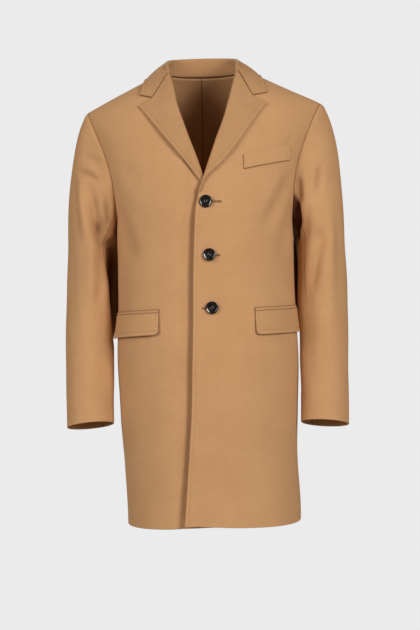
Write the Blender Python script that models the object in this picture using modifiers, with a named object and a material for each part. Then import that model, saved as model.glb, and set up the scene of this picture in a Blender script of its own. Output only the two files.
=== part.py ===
import math
from collections import namedtuple

import bmesh
import bpy
import numpy as np

# Single-breasted wool coat in its hollow worn form, in metres.
# X runs to the wearer's left, Y to the back and Z up. The origin lies between the two
# points where the shoulder seams meet the neck.

# Cloth
CLOTH = 0.0022
FRONT_CLOTH = 0.0026
DOUBLE_CLOTH = 0.003
SEAM = 0.0006
UNDERARM_SEAM = 0.0017
SLEEVE_SEAM = 0.0010
ROLL_SEAM = 0.0009
LYING = 0.0009

# Lengths
HEM = -0.922
HEM_RISE_AT_EDGE = 0.005
UNDERARM = -0.310
NECKLINE = 0.0
LEFT = 1
RIGHT = -1

# The skirt hangs a little towards the wearer's left
SWAY = 0.0055
SWAY_FROM = -0.74
SWAY_LENGTH = 0.17

# Body rings, from the hem up
Section = namedtuple("Section", "height half_width front_depth back_depth squareness")
SECTIONS = (
    Section(-0.930, 0.1765, 0.1500, 0.1380, 2.5),
    Section(-0.800, 0.1775, 0.1480, 0.1370, 2.5),
    Section(-0.690, 0.1815, 0.1465, 0.1370, 2.5),
    Section(-0.570, 0.1855, 0.1440, 0.1370, 2.5),
    Section(-0.450, 0.1812, 0.1400, 0.1240, 2.5),
    Section(-0.310, 0.1805, 0.1440, 0.1270, 2.45),
    Section(-0.265, 0.1895, 0.1420, 0.1290, 2.45),
    Section(-0.200, 0.2075, 0.1330, 0.1310, 2.4),
    Section(-0.147, 0.2245, 0.1260, 0.1310, 2.35),
    Section(-0.100, 0.2415, 0.1210, 0.1300, 2.25),
    Section(-0.070, 0.2520, 0.1180, 0.1300, 2.15),
    Section(0.050, 0.2700, 0.1000, 0.1330, 2.0),
)

# Shoulders: the outer end of each shoulder seam, and the height that both lines point to at X = 0
Shoulder = namedtuple("Shoulder", "half_width height")
SHOULDER = {LEFT: Shoulder(0.2440, -0.0712), RIGHT: Shoulder(0.2295, -0.0770)}
RIDGE_MIDDLE = 0.040
NECK_ROUND = 0.060
DOME_START = -0.200
DOME_SQUARENESS = 2.4

# Front edges: how far the edge lies on the panel's own side of the middle
Edge = namedtuple("Edge", "height over under")
FRONT_EDGE = (
    Edge(-0.930, -0.0615, -0.0400),
    Edge(-0.846, -0.0506, -0.0395),
    Edge(-0.766, -0.0400, -0.0390),
    Edge(-0.687, -0.0338, -0.0382),
    Edge(-0.595, -0.0303, -0.0375),
    Edge(-0.517, -0.0271, -0.0369),
    Edge(-0.432, -0.0249, -0.0360),
    Edge(-0.348, -0.0210, -0.0335),
    Edge(-0.290, -0.0168, -0.0250),
    Edge(-0.276, -0.0142, -0.0185),
    Edge(-0.262, -0.0094, -0.0120),
    Edge(-0.245, -0.0030, -0.0060),
    Edge(-0.227, 0.0041, 0.0030),
    Edge(-0.213, 0.0094, 0.0083),
    Edge(-0.201, 0.0136, 0.0122),
    Edge(-0.177, 0.0222, 0.0206),
    Edge(-0.153, 0.0306, 0.0296),
    Edge(-0.129, 0.0400, 0.0376),
    Edge(-0.105, 0.0484, 0.0454),
    Edge(-0.080, 0.0556, 0.0524),
    Edge(-0.055, 0.0622, 0.0568),
    Edge(-0.030, 0.0685, 0.0616),
    Edge(-0.015, 0.0719, 0.0652),
    Edge(0.000, 0.0748, 0.0690),
    Edge(0.010, 0.0770, 0.0715),
)

# The right front lies under the left one by this much, and comes up to it over a slope beside the left edge
Sink = namedtuple("Sink", "height depth")
SINK = (
    Sink(-0.930, 0.0080),
    Sink(-0.350, 0.0085),
    Sink(-0.240, 0.0095),
    Sink(-0.200, 0.0085),
    Sink(-0.120, 0.0),
    Sink(0.050, 0.0),
)
SINK_LEAST_OUT = 0.012
SINK_PAST_EDGE = 0.004
SINK_SLOPE = 0.030

# Armhole
ARMHOLE_FRONT = 0.066
ARMHOLE_BACK = 0.078
ARMHOLE_EGG = 0.20
OVER_SHOULDER = 0.45

# Rows and columns of the body's walls
BODY_ROWS = 13
ARMHOLE_STEPS = 9
SHOULDER_ROWS = 5
SHOULDER_ROW_INNER = -0.105
FRONT_COLUMNS = 11
BACK_COLUMNS = 10

# Sleeve rings, from under the armhole to the cuff
Ring = namedtuple("Ring", "height centre_x centre_y half_width half_depth tilt")
RINGS = (
    Ring(-0.730, 0.2370, -0.0480, 0.0480, 0.0460, 0.23),
    Ring(-0.650, 0.2388, -0.0310, 0.0480, 0.0510, 0.16),
    Ring(-0.550, 0.2405, -0.0110, 0.0483, 0.0580, 0.07),
    Ring(-0.450, 0.2385, 0.0020, 0.0495, 0.0660, 0.01),
    Ring(-0.355, 0.2365, 0.0060, 0.0475, 0.0735, 0.0),
    Ring(-0.300, 0.2355, 0.0065, 0.0470, 0.0750, 0.0),
)
BICEPS = -0.355
Hang = namedtuple("Hang", "cuff out swing")
HANG = {LEFT: Hang(-0.7255, 0.0030, -0.0060), RIGHT: Hang(-0.7195, -0.0015, 0.0065)}
CUFF_SLOPE = 0.0040
CUFF_SLOPE_FROM = -0.600
CUFF_SLOPE_LENGTH = 0.120
UNDER_BULGE = 0.0130
UNDER_BULGE_TURN = 212
UNDER_BULGE_END = -0.590
UNDER_BULGE_FADE = 0.110
FORE_SEAM = 140
HIND_SEAM = 240
SLEEVE_TURN = 20.0
CAP_ROWS = (0.0, 0.10, 0.24, 0.42, 0.62, 0.82, 1.0)
SLEEVE_ROWS = 8

# Sleeve cap: how it leaves the armhole, and how far each end of its curve reaches
Reach = namedtuple("Reach", "middle towards_shoulder")
CAP_OUT = Reach(0.45, 0.30)
CAP_FORWARD = 0.25
CAP_DOWN = 0.70
CAP_START = Reach(0.029, 0.019)
CAP_END = Reach(0.056, 0.044)

# Lapels
ROLL_RADIUS = 0.0032
ROLL_RADIUS_AT_BREAK = 0.0019
ROLL_SPREAD = 0.045
ROLL_BOTTOM = -0.268
GORGE_AT_ROLL = -0.015
LapelEdge = namedtuple("LapelEdge", "height left right")
LAPEL_EDGE = (
    LapelEdge(-0.282, -0.0150, -0.0150),
    LapelEdge(-0.272, -0.0122, -0.0105),
    LapelEdge(-0.262, -0.0086, -0.0046),
    LapelEdge(-0.252, -0.0048, -0.0003),
    LapelEdge(-0.243, -0.0012, 0.0037),
    LapelEdge(-0.234, 0.0040, 0.0085),
    LapelEdge(-0.224, 0.0118, 0.0160),
    LapelEdge(-0.215, 0.0227, 0.0228),
    LapelEdge(-0.197, 0.0405, 0.0368),
    LapelEdge(-0.177, 0.0585, 0.0525),
    LapelEdge(-0.149, 0.0785, 0.0745),
    LapelEdge(-0.119, 0.1003, 0.0975),
    LapelEdge(-0.090, 0.1218, 0.1196),
    LapelEdge(-0.080, 0.1292, 0.1272),
)
LAPEL_EDGE_BOTTOM = -0.266
LAPEL_ROWS = 13
LAPEL_NOTCH_SHARE = 0.68
LAPEL_COLUMNS = (0.14, 0.30, 0.49, LAPEL_NOTCH_SHARE, 0.84, 1.0)
LAPEL_TIP = {LEFT: (0.1297, -0.0824), RIGHT: (0.1262, -0.0812)}
NOTCH = {LEFT: (0.1012, -0.0662), RIGHT: (0.0980, -0.0652)}
COLLAR_TIP = {LEFT: (0.1305, -0.0582), RIGHT: (0.1230, -0.0575)}
GORGE_ACROSS = (0.55, 0.84)
GORGE_GAP = 0.0009
TIP_LIFT = 0.0008
FOLD_STEPS = 6

# Collar: stations from the gorge to the middle of the back, with the line that it rolls over on
Station = namedtuple("Station", "share out back height")
STATIONS = {
    LEFT: (
        Station(0.00, 0.0715, -0.0540, -0.0150),
        Station(0.12, 0.0725, -0.0360, 0.0015),
        Station(0.26, 0.0728, -0.0140, 0.0120),
        Station(0.42, 0.0705, 0.0140, 0.0210),
        Station(0.60, 0.0590, 0.0420, 0.0285),
        Station(0.80, 0.0330, 0.0610, 0.0335),
        Station(1.00, 0.0000, 0.0670, 0.0350),
    ),
    RIGHT: (
        Station(0.00, 0.0650, -0.0560, -0.0150),
        Station(0.12, 0.0670, -0.0360, 0.0015),
        Station(0.26, 0.0668, -0.0140, 0.0120),
        Station(0.42, 0.0642, 0.0140, 0.0205),
        Station(0.60, 0.0545, 0.0420, 0.0280),
        Station(0.80, 0.0310, 0.0610, 0.0330),
        Station(1.00, 0.0000, 0.0670, 0.0350),
    ),
}

# Outer edge of the collar: straight from its tip to where it crosses the shoulder line, then round the back
CROSSING_SHARE = 0.31
CROSSING_OUT = {LEFT: 0.1205, RIGHT: 0.1140}
CollarEdge = namedtuple("CollarEdge", "share angle height")
COLLAR_EDGE = (
    CollarEdge(0.31, 0.0, -0.0165),
    CollarEdge(0.42, 12.0, -0.0168),
    CollarEdge(0.60, 36.0, -0.0170),
    CollarEdge(0.80, 62.0, -0.0185),
    CollarEdge(1.00, 90.0, -0.0200),
)
COLLAR_STEPS = 10
COLLAR_NOTCH_SHARE = 0.777
COLLAR_COLUMNS = (0.16, 0.33, 0.50, 0.64, COLLAR_NOTCH_SHARE, 0.89, 1.0)
COLLAR_ROLL = 0.0036
COLLAR_BULGE = 0.0025
COLLAR_SEAT = 0.0030
COLLAR_NECK_SHARE = 0.10
COLLAR_FIRST_STAND = 0.0010
GORGE_SEAM = 0.0026

# Pockets, each from its inner end to its outer end
Pocket = namedtuple("Pocket", "inner top outer_angle outer_top flap_inner flap_outer flare")
POCKET = {
    LEFT: Pocket(0.0945, -0.4945, -6.0, -0.4905, 0.0480, 0.0480, 0.0022),
    RIGHT: Pocket(0.0935, -0.4940, -6.0, -0.4975, 0.0440, 0.0480, 0.0040),
}
FLAP_CORNER = 0.009
JET_HEIGHT = 0.006
JET_PROUD = 0.0014
WELT_INNER = (0.0792, -0.2008)
WELT_OUTER = (0.1725, -0.1815)
WELT_HEIGHT = 0.029

# Buttons
BUTTON_RADIUS = 0.0125
BUTTON_THICK = 0.0042
BUTTON_DISH = 0.0012
BUTTON_RIM = 0.0030
BUTTON_STAND = 0.0010
BUTTON_HOLE = 0.0011
BUTTON_HOLE_OUT = 0.0024
BUTTONS = {
    "button_top": (0.0033, -0.2783),
    "button_middle": (0.0076, -0.3828),
    "button_bottom": (0.0103, -0.4868),
}


def clear_scene():
    for item in list(bpy.data.objects):
        bpy.data.objects.remove(item, do_unlink=True)


def collection(name):
    made = bpy.data.collections.new(name)
    bpy.context.scene.collection.children.link(made)
    return made


def material(name, colour, roughness, sheen):
    made = bpy.data.materials.new(name)
    made.use_nodes = True
    shader = made.node_tree.nodes["Principled BSDF"]
    shader.inputs["Base Color"].default_value = (*colour, 1.0)
    shader.inputs["Roughness"].default_value = roughness
    shader.inputs["Sheen Weight"].default_value = sheen
    return made


def curve(rows, column):
    """Smooth reading of one column of a table against its heights or shares."""
    at = np.array([row[0] for row in rows], float)
    value = np.array([getattr(row, column) for row in rows], float)
    step = np.diff(at)
    slope = np.diff(value) / step
    bend = np.zeros(len(at))
    bend[0] = slope[0]
    bend[-1] = slope[-1]
    for i in range(1, len(at) - 1):
        if slope[i - 1] * slope[i] > 0:
            first = 2 * step[i] + step[i - 1]
            second = step[i] + 2 * step[i - 1]
            bend[i] = (first + second) / (first / slope[i - 1] + second / slope[i])
    dense = np.linspace(at[0], at[-1], 800)
    row = np.clip(np.searchsorted(at, dense) - 1, 0, len(at) - 2)
    t = (dense - at[row]) / step[row]
    smooth = (
        (2 * t**3 - 3 * t**2 + 1) * value[row]
        + (t**3 - 2 * t**2 + t) * step[row] * bend[row]
        + (3 * t**2 - 2 * t**3) * value[row + 1]
        + (t**3 - t**2) * step[row] * bend[row + 1]
    )
    return lambda where: np.interp(where, dense, smooth)


half_width = curve(SECTIONS, "half_width")
front_depth = curve(SECTIONS, "front_depth")
back_depth = curve(SECTIONS, "back_depth")
squareness = curve(SECTIONS, "squareness")
edge_over = curve(FRONT_EDGE, "over")
edge_under = curve(FRONT_EDGE, "under")
sink_depth = curve(SINK, "depth")
lapel_out = {LEFT: curve(LAPEL_EDGE, "left"), RIGHT: curve(LAPEL_EDGE, "right")}
ring_x = curve(RINGS, "centre_x")
ring_y = curve(RINGS, "centre_y")
ring_width = curve(RINGS, "half_width")
ring_depth = curve(RINGS, "half_depth")
ring_tilt = curve(RINGS, "tilt")


def unit(vectors):
    return vectors / np.maximum(np.linalg.norm(vectors, axis=-1, keepdims=True), 1e-12)


def ease(share):
    share = np.clip(share, 0, 1)
    return share * share * (3 - 2 * share)


def ridge(side, out):
    """Height of the shoulder line this far from the middle, rounded off between the neck points."""
    shoulder = SHOULDER[side]
    out = np.abs(out)
    out = np.where(out < NECK_ROUND, (out**2 + NECK_ROUND**2) / (2 * NECK_ROUND), out)
    return RIDGE_MIDDLE + (shoulder.height - RIDGE_MIDDLE) * out / shoulder.half_width


def depth_at(side, out, height, back):
    """Half depth of the body form at a distance out from the middle and a height."""
    power = squareness(height)
    deep = np.where(back, back_depth(height), front_depth(height))
    flat = np.clip(1 - (np.abs(out) / half_width(height)) ** power, 0, 1) ** (1 / power)
    rise = np.clip((height - DOME_START) / (ridge(side, out) - DOME_START), 0, 1)
    return deep * flat * (1 - rise**DOME_SQUARENESS) ** (1 / DOME_SQUARENESS)


def sway(height):
    return SWAY * ease((SWAY_FROM - height) / SWAY_LENGTH)


def form(side, angle, height):
    """Point of the body form: -90 degrees is the front, 0 the side and 90 the back."""
    angle, height = np.broadcast_arrays(np.radians(angle), np.asarray(height, float))
    across = np.cos(angle)
    along = np.abs(np.sin(angle))
    back = np.sin(angle) > 0
    low = np.zeros(angle.shape)
    high = np.full(angle.shape, 0.4)
    for _ in range(44):
        middle = (low + high) / 2
        inside = depth_at(side, middle * across, height, back) > middle * along
        low = np.where(inside, middle, low)
        high = np.where(inside, high, middle)
    return np.stack([side * low * across + sway(height), low * np.sin(angle), height], -1)


def form_normal(side, angle, height):
    by_angle = form(side, angle + 0.2, height) - form(side, angle - 0.2, height)
    by_height = form(side, angle, height + 0.0006) - form(side, angle, height - 0.0006)
    return unit(np.cross(by_angle, by_height) * side)


def angle_at(side, out, height):
    """Angle of the front point that lies this far out at this height."""
    return np.degrees(np.arctan2(-depth_at(side, out, height, False), out))


def sink(side, out, height):
    """How far the front lies below the body form here."""
    if side == LEFT:
        return np.zeros(np.broadcast(out, height).shape)
    full = np.maximum(-edge_over(height), SINK_LEAST_OUT) + SINK_PAST_EDGE
    return sink_depth(height) * ease((full + SINK_SLOPE - out) / SINK_SLOPE)


def own_out(side, point):
    """How far out a point of the body form lies on its own side, without the sway."""
    return side * (point[..., 0] - sway(point[..., 2]))


def front_point(side, out, height, lift=0.0):
    """Point of a front this far out, lifted from the cloth's outer face."""
    angle = angle_at(side, out, height)
    away = form_normal(side, angle, height)
    lift = np.asarray(lift - sink(side, out, height))
    return form(side, angle, height) + away * lift[..., None]


def roll_out(side, height):
    return edge_over(height) if side == LEFT else edge_under(height)


def armhole(side, turn):
    """Point of the armhole: 0 degrees is the shoulder, 90 the front and 180 the underarm."""
    turn = np.radians(np.asarray(turn, float))
    top = SHOULDER[side].height
    height = (top + UNDERARM) / 2 + (top - UNDERARM) / 2 * np.cos(turn)
    reach = np.where(np.sin(turn) > 0, ARMHOLE_FRONT, ARMHOLE_BACK)
    y = -reach * np.sin(turn) * (1 - ARMHOLE_EGG * np.cos(turn))
    back = y > 0
    low = np.zeros(turn.shape)
    high = np.full(turn.shape, 0.4)
    for _ in range(44):
        middle = (low + high) / 2
        inside = depth_at(side, middle, height, back) > np.abs(y)
        low = np.where(inside, middle, low)
        high = np.where(inside, high, middle)
    return np.stack([side * low, y, height], -1)


def armhole_angle(side, turn):
    point = armhole(side, turn)
    return np.degrees(np.arctan2(point[..., 1], side * point[..., 0])), point[..., 2]


def sleeve_ring(side, turn, height):
    """Point of a sleeve below the armhole: 0 degrees is the outer side and 90 the front."""
    turn, height = np.broadcast_arrays(np.radians(turn), np.asarray(height, float))
    hang = HANG[side]
    swing = hang.out + hang.swing * (BICEPS - height) / (BICEPS - hang.cuff)
    bulge = np.clip(np.cos(turn - math.radians(UNDER_BULGE_TURN)), 0, 1) ** 6
    bulge = UNDER_BULGE * bulge * ease((height - UNDER_BULGE_END) / UNDER_BULGE_FADE)
    x = ring_x(height) + swing + ring_width(height) * np.cos(turn) - bulge
    forward = -ring_depth(height) * np.sin(turn)
    slope = CUFF_SLOPE * ease((CUFF_SLOPE_FROM - height) / CUFF_SLOPE_LENGTH) * np.cos(turn)
    return np.stack([side * x, ring_y(height) + forward, height - ring_tilt(height) * forward - slope], -1)


def sleeve(side, turn, row):
    """Point of a sleeve: rows 0 to 1 form the cap, and 1 to 2 run from there to the cuff."""
    turn, row = np.broadcast_arrays(np.asarray(turn, float), np.asarray(row, float))
    cosine = np.cos(np.radians(turn))
    sine = np.sin(np.radians(turn))
    start = armhole(side, turn)
    end = sleeve_ring(side, turn, np.full(turn.shape, BICEPS))
    sideways = side * (CAP_OUT.middle + CAP_OUT.towards_shoulder * cosine)
    leave = unit(np.stack([sideways, -CAP_FORWARD * sine, np.full(turn.shape, -CAP_DOWN)], -1))
    first = start + leave * (CAP_START.middle + CAP_START.towards_shoulder * cosine)[..., None]
    second = end + np.array([0, 0, 1.0]) * (CAP_END.middle + CAP_END.towards_shoulder * cosine)[..., None]
    t = np.clip(row, 0, 1)[..., None]
    leaving = (1 - t) ** 3 * start + 3 * t * (1 - t) ** 2 * first
    cap = leaving + 3 * t**2 * (1 - t) * second + t**3 * end
    low = BICEPS + (HANG[side].cuff - BICEPS) * np.clip(row - 1, 0, 1)
    return np.where((row > 1)[..., None], sleeve_ring(side, turn, low), cap)


def sleeve_normal(side, turn, row):
    row = np.clip(row, 0.0, 1.995)
    by_turn = sleeve(side, turn + 0.5, row) - sleeve(side, turn - 0.5, row)
    by_row = sleeve(side, turn, row + 0.004) - sleeve(side, turn, np.maximum(row - 0.004, 0))
    return unit(np.cross(by_turn, by_row) * side)


def grid_normals(grid):
    """Normals of a grid of points from its own rows and columns."""
    return unit(np.cross(np.gradient(grid, axis=0), np.gradient(grid, axis=1)))


def wall(name, outer, inner, look, home):
    """Closed wall between two grids of points that share their rows and columns."""
    rows, columns = outer.shape[:2]
    count = rows * columns

    def at(i, j):
        return i * columns + j

    faces = []
    for i in range(rows - 1):
        for j in range(columns - 1):
            face = (at(i, j), at(i, j + 1), at(i + 1, j + 1), at(i + 1, j))
            faces.append(face)
            faces.append(tuple(count + corner for corner in reversed(face)))
    border = [at(0, j) for j in range(columns)]
    border += [at(i, columns - 1) for i in range(1, rows)]
    border += [at(rows - 1, j) for j in range(columns - 2, -1, -1)]
    border += [at(i, 0) for i in range(rows - 2, 0, -1)]
    for here, after in zip(border, border[1:] + border[:1]):
        faces.append((after, here, count + here, count + after))
    points = np.concatenate([outer.reshape(-1, 3), inner.reshape(-1, 3)])
    mesh = bpy.data.meshes.new(name)
    mesh.from_pydata(points.tolist(), [], faces)
    shape = bmesh.new()
    shape.from_mesh(mesh)
    bmesh.ops.recalc_face_normals(shape, faces=shape.faces)
    shape.to_mesh(mesh)
    shape.free()
    mesh.materials.append(look)
    item = bpy.data.objects.new(name, mesh)
    home.objects.link(item)
    return item


def draw_in(grids, edge, distance=SEAM / 2):
    """Moves one edge of each grid towards its own cloth, to leave the gap of a seam."""
    here, after = {"first": (0, 1), "last": (-1, -2)}[edge]
    for grid in grids:
        grid[:, here] += unit(grid[:, after] - grid[:, here]) * distance


def armhole_direction(turn, mine, other):
    """Direction through the cloth at the armhole. Over the shoulder both walls meet along one line."""
    over = (np.cos(np.radians(turn)) > OVER_SHOULDER).astype(float)[:, None]
    return unit(mine + over * other)


def panel(name, side, face, look, home, thick):
    """Front or back of one side, from its front edge or middle seam to the side seam and armhole."""
    sign = 1 if face == "front" else -1
    low = np.linspace(HEM, UNDERARM, BODY_ROWS)
    turns = np.linspace(180, 0, ARMHOLE_STEPS + 1)[1:]
    hole_angle, hole_height = armhole_angle(side, turns * sign)
    rise = (hole_height - UNDERARM) / (hole_height[-1] - UNDERARM)
    seam = np.linspace(0, 1, SHOULDER_ROWS + 1)[1:]
    outer_angle = np.concatenate([np.zeros(BODY_ROWS), hole_angle, np.zeros(SHOULDER_ROWS)])
    outer_seam = hole_height[-1] + (NECKLINE - hole_height[-1]) * seam
    outer_height = np.concatenate([low, hole_height, outer_seam])
    inner_hole = UNDERARM + (SHOULDER_ROW_INNER - UNDERARM) * rise
    inner_seam = SHOULDER_ROW_INNER + (NECKLINE - SHOULDER_ROW_INNER) * seam
    inner_height = np.concatenate([low, inner_hole, inner_seam])
    if face == "front":
        inner_angle = angle_at(side, roll_out(side, inner_height), inner_height)
        inner_height[0] += HEM_RISE_AT_EDGE
        across = np.linspace(0, 1, FRONT_COLUMNS)
    else:
        inner_angle = np.full(len(inner_height), 90.0)
        across = np.linspace(0, 1, BACK_COLUMNS)
    angle = inner_angle[:, None] + (outer_angle - inner_angle)[:, None] * across
    climb = 1 - (1 - across) ** 2
    height = inner_height[:, None] + (outer_height - inner_height)[:, None] * climb
    away = form_normal(side, angle, height)
    outer = form(side, angle, height)
    if face == "front":
        outer = outer - away * sink(side, own_out(side, outer), height)[..., None]
    inner = outer - away * thick
    hole = slice(BODY_ROWS, BODY_ROWS + len(turns))
    cap_away = sleeve_normal(side, turns * sign, np.zeros(len(turns)))
    lean = armhole_direction(turns, away[hole, -1], cap_away)
    inner[hole, -1] = outer[hole, -1] - lean * thick / np.sum(lean * away[hole, -1], -1, keepdims=True)
    draw_in((outer, inner), "first")
    draw_in((outer, inner), "last")
    return wall(name, outer, inner, look, home)


def sleeve_piece(name, side, first_turn, last_turn, look, home):
    turns = np.arange(first_turn, last_turn + 1, SLEEVE_TURN)
    rows = np.concatenate([CAP_ROWS, np.linspace(1, 2, SLEEVE_ROWS + 1)[1:]])
    turn, row = np.meshgrid(turns, rows)
    outer = sleeve(side, turn, row)
    away = sleeve_normal(side, turn, row)
    inner = outer - away * CLOTH
    angle, height = armhole_angle(side, turns)
    lean = armhole_direction(turns, away[0], form_normal(side, angle, height))
    inner[0] = outer[0] - lean * CLOTH / np.sum(lean * away[0], -1, keepdims=True)
    under = (1 - np.cos(np.radians(turns))) / 2
    gap = SEAM + (UNDERARM_SEAM - SEAM) * under
    for grid in (outer, inner):
        grid[0] += unit(grid[1] - grid[0]) * gap[:, None]
    draw_in((outer, inner), "first", SLEEVE_SEAM / 2)
    draw_in((outer, inner), "last", SLEEVE_SEAM / 2)
    return wall(name, outer, inner, look, home)


def fold(base, out, up, radius):
    """Half turn of the cloth from a base line, up and over towards the outside."""
    turn = np.linspace(0, math.pi, FOLD_STEPS)
    rise = radius[:, None, None] * np.sin(turn)[:, None] * up[:, None]
    away = radius[:, None, None] * (1 - np.cos(turn))[:, None] * out[:, None]
    return base[:, None] + rise + away


def gorge_path(side, share, start, end, at_notch):
    """Straight from the roll line to the notch, then straight on to a tip, as points (out, height)."""
    before = np.clip(share / at_notch, 0, 1)[:, None]
    after = np.clip((share - at_notch) / (1 - at_notch), 0, 1)[:, None]
    notch = np.array(NOTCH[side])
    return np.array(start) + before * (notch - np.array(start)) + after * (np.array(end) - notch)


def roll_frame(side, height):
    """Line that a front rolls over on, with its outward and inward directions."""
    out = roll_out(side, height)
    base = front_point(side, out, height, -FRONT_CLOTH / 2)
    away = form_normal(side, angle_at(side, out, height), height)
    along = unit(np.gradient(base, axis=0))
    up = unit(np.cross(away, along)) * side
    up = up * np.sign(-side * up[:, :1])
    return base, away, up, along


def lapel(name, side, look, home):
    share = np.linspace(0, 1, LAPEL_ROWS)
    roll_height = ROLL_BOTTOM + (GORGE_AT_ROLL - ROLL_BOTTOM) * share
    base, away, up, _ = roll_frame(side, roll_height)
    radius = ROLL_RADIUS_AT_BREAK + (ROLL_RADIUS - ROLL_RADIUS_AT_BREAK) * ease(share / 0.3)
    turn = fold(base + up * ROLL_SEAM, away, up, radius)
    tip = LAPEL_TIP[side]
    edge_height = LAPEL_EDGE_BOTTOM + (tip[1] - LAPEL_EDGE_BOTTOM) * share
    start = np.stack([roll_out(side, roll_height), roll_height], -1)
    end = np.stack([lapel_out[side](edge_height), edge_height], -1)
    end[-1] = tip
    across = np.array(LAPEL_COLUMNS)
    flat = start[:, None] + (end - start)[:, None] * across[:, None]
    bend = gorge_path(side, across, start[-1], tip, LAPEL_NOTCH_SHARE) - flat[-1]
    flat = flat + bend * (ease((share - 0.6) / 0.4) ** 2)[:, None, None]
    flat[-1] -= unit(np.array(GORGE_ACROSS)) * GORGE_GAP
    reach = np.linalg.norm(flat - start[:, None], axis=-1)
    first_lift = (2 * radius - FRONT_CLOTH / 2)[:, None]
    last_lift = LYING + DOUBLE_CLOTH / 2 + TIP_LIFT * share[:, None]
    falling = 0.5 * (1 + np.cos(np.pi * np.clip(reach / ROLL_SPREAD, 0, 1)))
    leaf = front_point(side, flat[..., 0], flat[..., 1], last_lift + (first_lift - last_lift) * falling)
    middle = np.concatenate([turn, leaf], axis=1)
    half = grid_normals(middle) * DOUBLE_CLOTH / 2
    return wall(name, middle + half, middle - half, look, home)


def clear_of_form(side, points, lift):
    """Moves points that lie too near the body form out along its normal."""
    for _ in range(2):
        angle = np.degrees(np.arctan2(points[..., 1], side * points[..., 0]))
        height = points[..., 2]
        near = form(side, angle, height)
        away = form_normal(side, angle, height)
        gap = np.sum((points - near) * away, -1)
        push = np.where(np.hypot(near[..., 0], near[..., 1]) > 0.02, np.maximum(lift - gap, 0), 0)
        points = points + away * push[..., None]
    return points


def collar_edge(side, share):
    """Outer edge of the collar on the body form."""
    tip_out, tip_height = COLLAR_TIP[side]
    crossing = CROSSING_OUT[side]
    along = np.clip(share / CROSSING_SHARE, 0, 0.97)
    out = tip_out + (crossing - tip_out) * along
    height = tip_height + (ridge(side, crossing) - tip_height) * along
    front = share < CROSSING_SHARE
    angle = np.where(front, angle_at(side, out, height), curve(COLLAR_EDGE, "angle")(share))
    return form(side, angle, np.where(front, height, curve(COLLAR_EDGE, "height")(share)))


def collar_side(side):
    """Middle surface of one half of the collar, from the gorge to the middle of the back."""
    share = np.linspace(0, 1, COLLAR_STEPS + 1)
    read = {name: curve(STATIONS[side], name)(share) for name in Station._fields[1:]}
    start_angle = float(angle_at(side, roll_out(side, NECKLINE), NECKLINE))
    ring_share = np.clip((share - COLLAR_NECK_SHARE) / (1 - COLLAR_NECK_SHARE), 0, 1)
    on_roll = share < COLLAR_NECK_SHARE
    height = np.where(on_roll, GORGE_AT_ROLL * (1 - share / COLLAR_NECK_SHARE), NECKLINE)
    angle = start_angle + (90 - start_angle) * ring_share
    angle = np.where(on_roll, angle_at(side, roll_out(side, height), height), angle)
    base = form(side, angle, height) - form_normal(side, angle, height) * FRONT_CLOTH / 2
    roll_end = GORGE_AT_ROLL + np.array([-0.010, -0.005, 0])
    roll_base, _, roll_up, roll_along = roll_frame(side, roll_end)
    line = np.stack([side * read["out"], read["back"], read["height"]], -1)
    line = line + (roll_base[-1] - line[0]) * (1 - ease(share / 0.25))[:, None]
    along = unit(np.gradient(line, axis=0))
    along[0] = roll_along[-1]
    along[-1] = np.array([-side, 0, 0])
    upright = unit(line - base + np.array([0, 0, 0.004]))
    blend = ease(share / 0.3)[:, None]
    up = unit(roll_up[-1] * (1 - blend) + upright * blend)
    up = unit(up - along * np.sum(up * along, -1, keepdims=True))
    out = unit(np.cross(along, up)) * side
    seat = ROLL_SEAM + (COLLAR_SEAT - ROLL_SEAM) * ease(share / 0.15)[:, None]
    base = base + up * seat
    line = line + up * seat
    line[0] += up[0] * COLLAR_FIRST_STAND
    for first in (base, line):
        first[0] += along[0] * GORGE_SEAM
    rise = base[:, None] + (line - base)[:, None] * np.array([0, 0.5])[:, None]
    radius = ROLL_RADIUS + (COLLAR_ROLL - ROLL_RADIUS) * ease(share / 0.4)
    turn = fold(line, out, up, radius)
    edge = collar_edge(side, share)
    across = np.array(COLLAR_COLUMNS)
    hang = turn[:, -1:]
    leaf = hang + (edge[:, None] - hang) * across[:, None]
    leaf = leaf + out[:, None] * (COLLAR_BULGE * 4 * across * (1 - across))[:, None]
    flat = np.stack([side * leaf[..., 0], leaf[..., 2]], -1)
    start = np.array([roll_out(side, GORGE_AT_ROLL), GORGE_AT_ROLL])
    flat[0] = gorge_path(side, across, start, COLLAR_TIP[side], COLLAR_NOTCH_SHARE)
    straight = start + (np.array(COLLAR_TIP[side]) - start) * across[:, None]
    bend = flat[0] - straight
    flat[1:] += bend * (1 - ease(share[1:] / 0.34))[:, None, None] ** 2
    flat[0] += unit(np.array(GORGE_ACROSS)) * GORGE_GAP
    reach = np.linalg.norm(leaf - hang, axis=-1)
    last_lift = LYING + DOUBLE_CLOTH / 2 + TIP_LIFT
    first_lift = (2 * radius - FRONT_CLOTH / 2)[:, None]
    falling = 0.5 * (1 + np.cos(np.pi * np.clip(reach / ROLL_SPREAD, 0, 1)))
    lift = last_lift + (first_lift - last_lift) * falling
    below_ridge = np.minimum(flat[..., 1], ridge(side, flat[..., 0]) - DOUBLE_CLOTH)
    resting = front_point(side, flat[..., 0], below_ridge, lift)
    rest = (1 - ease(share / 0.3))[:, None, None]
    leaf = leaf + (resting - leaf) * rest
    leaf = clear_of_form(side, leaf, last_lift + 0 * reach)
    return np.concatenate([rise, turn, leaf], axis=1)


def collar(name, look, home):
    left = collar_side(LEFT)
    right = collar_side(RIGHT)
    middle_back = (left[-1] + right[-1]) / 2
    middle_back[:, 0] = 0
    middle = np.concatenate([right[:-1], middle_back[None], left[-2::-1]])
    half = grid_normals(middle) * DOUBLE_CLOTH / 2
    return wall(name, middle + half, middle - half, look, home)


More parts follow.
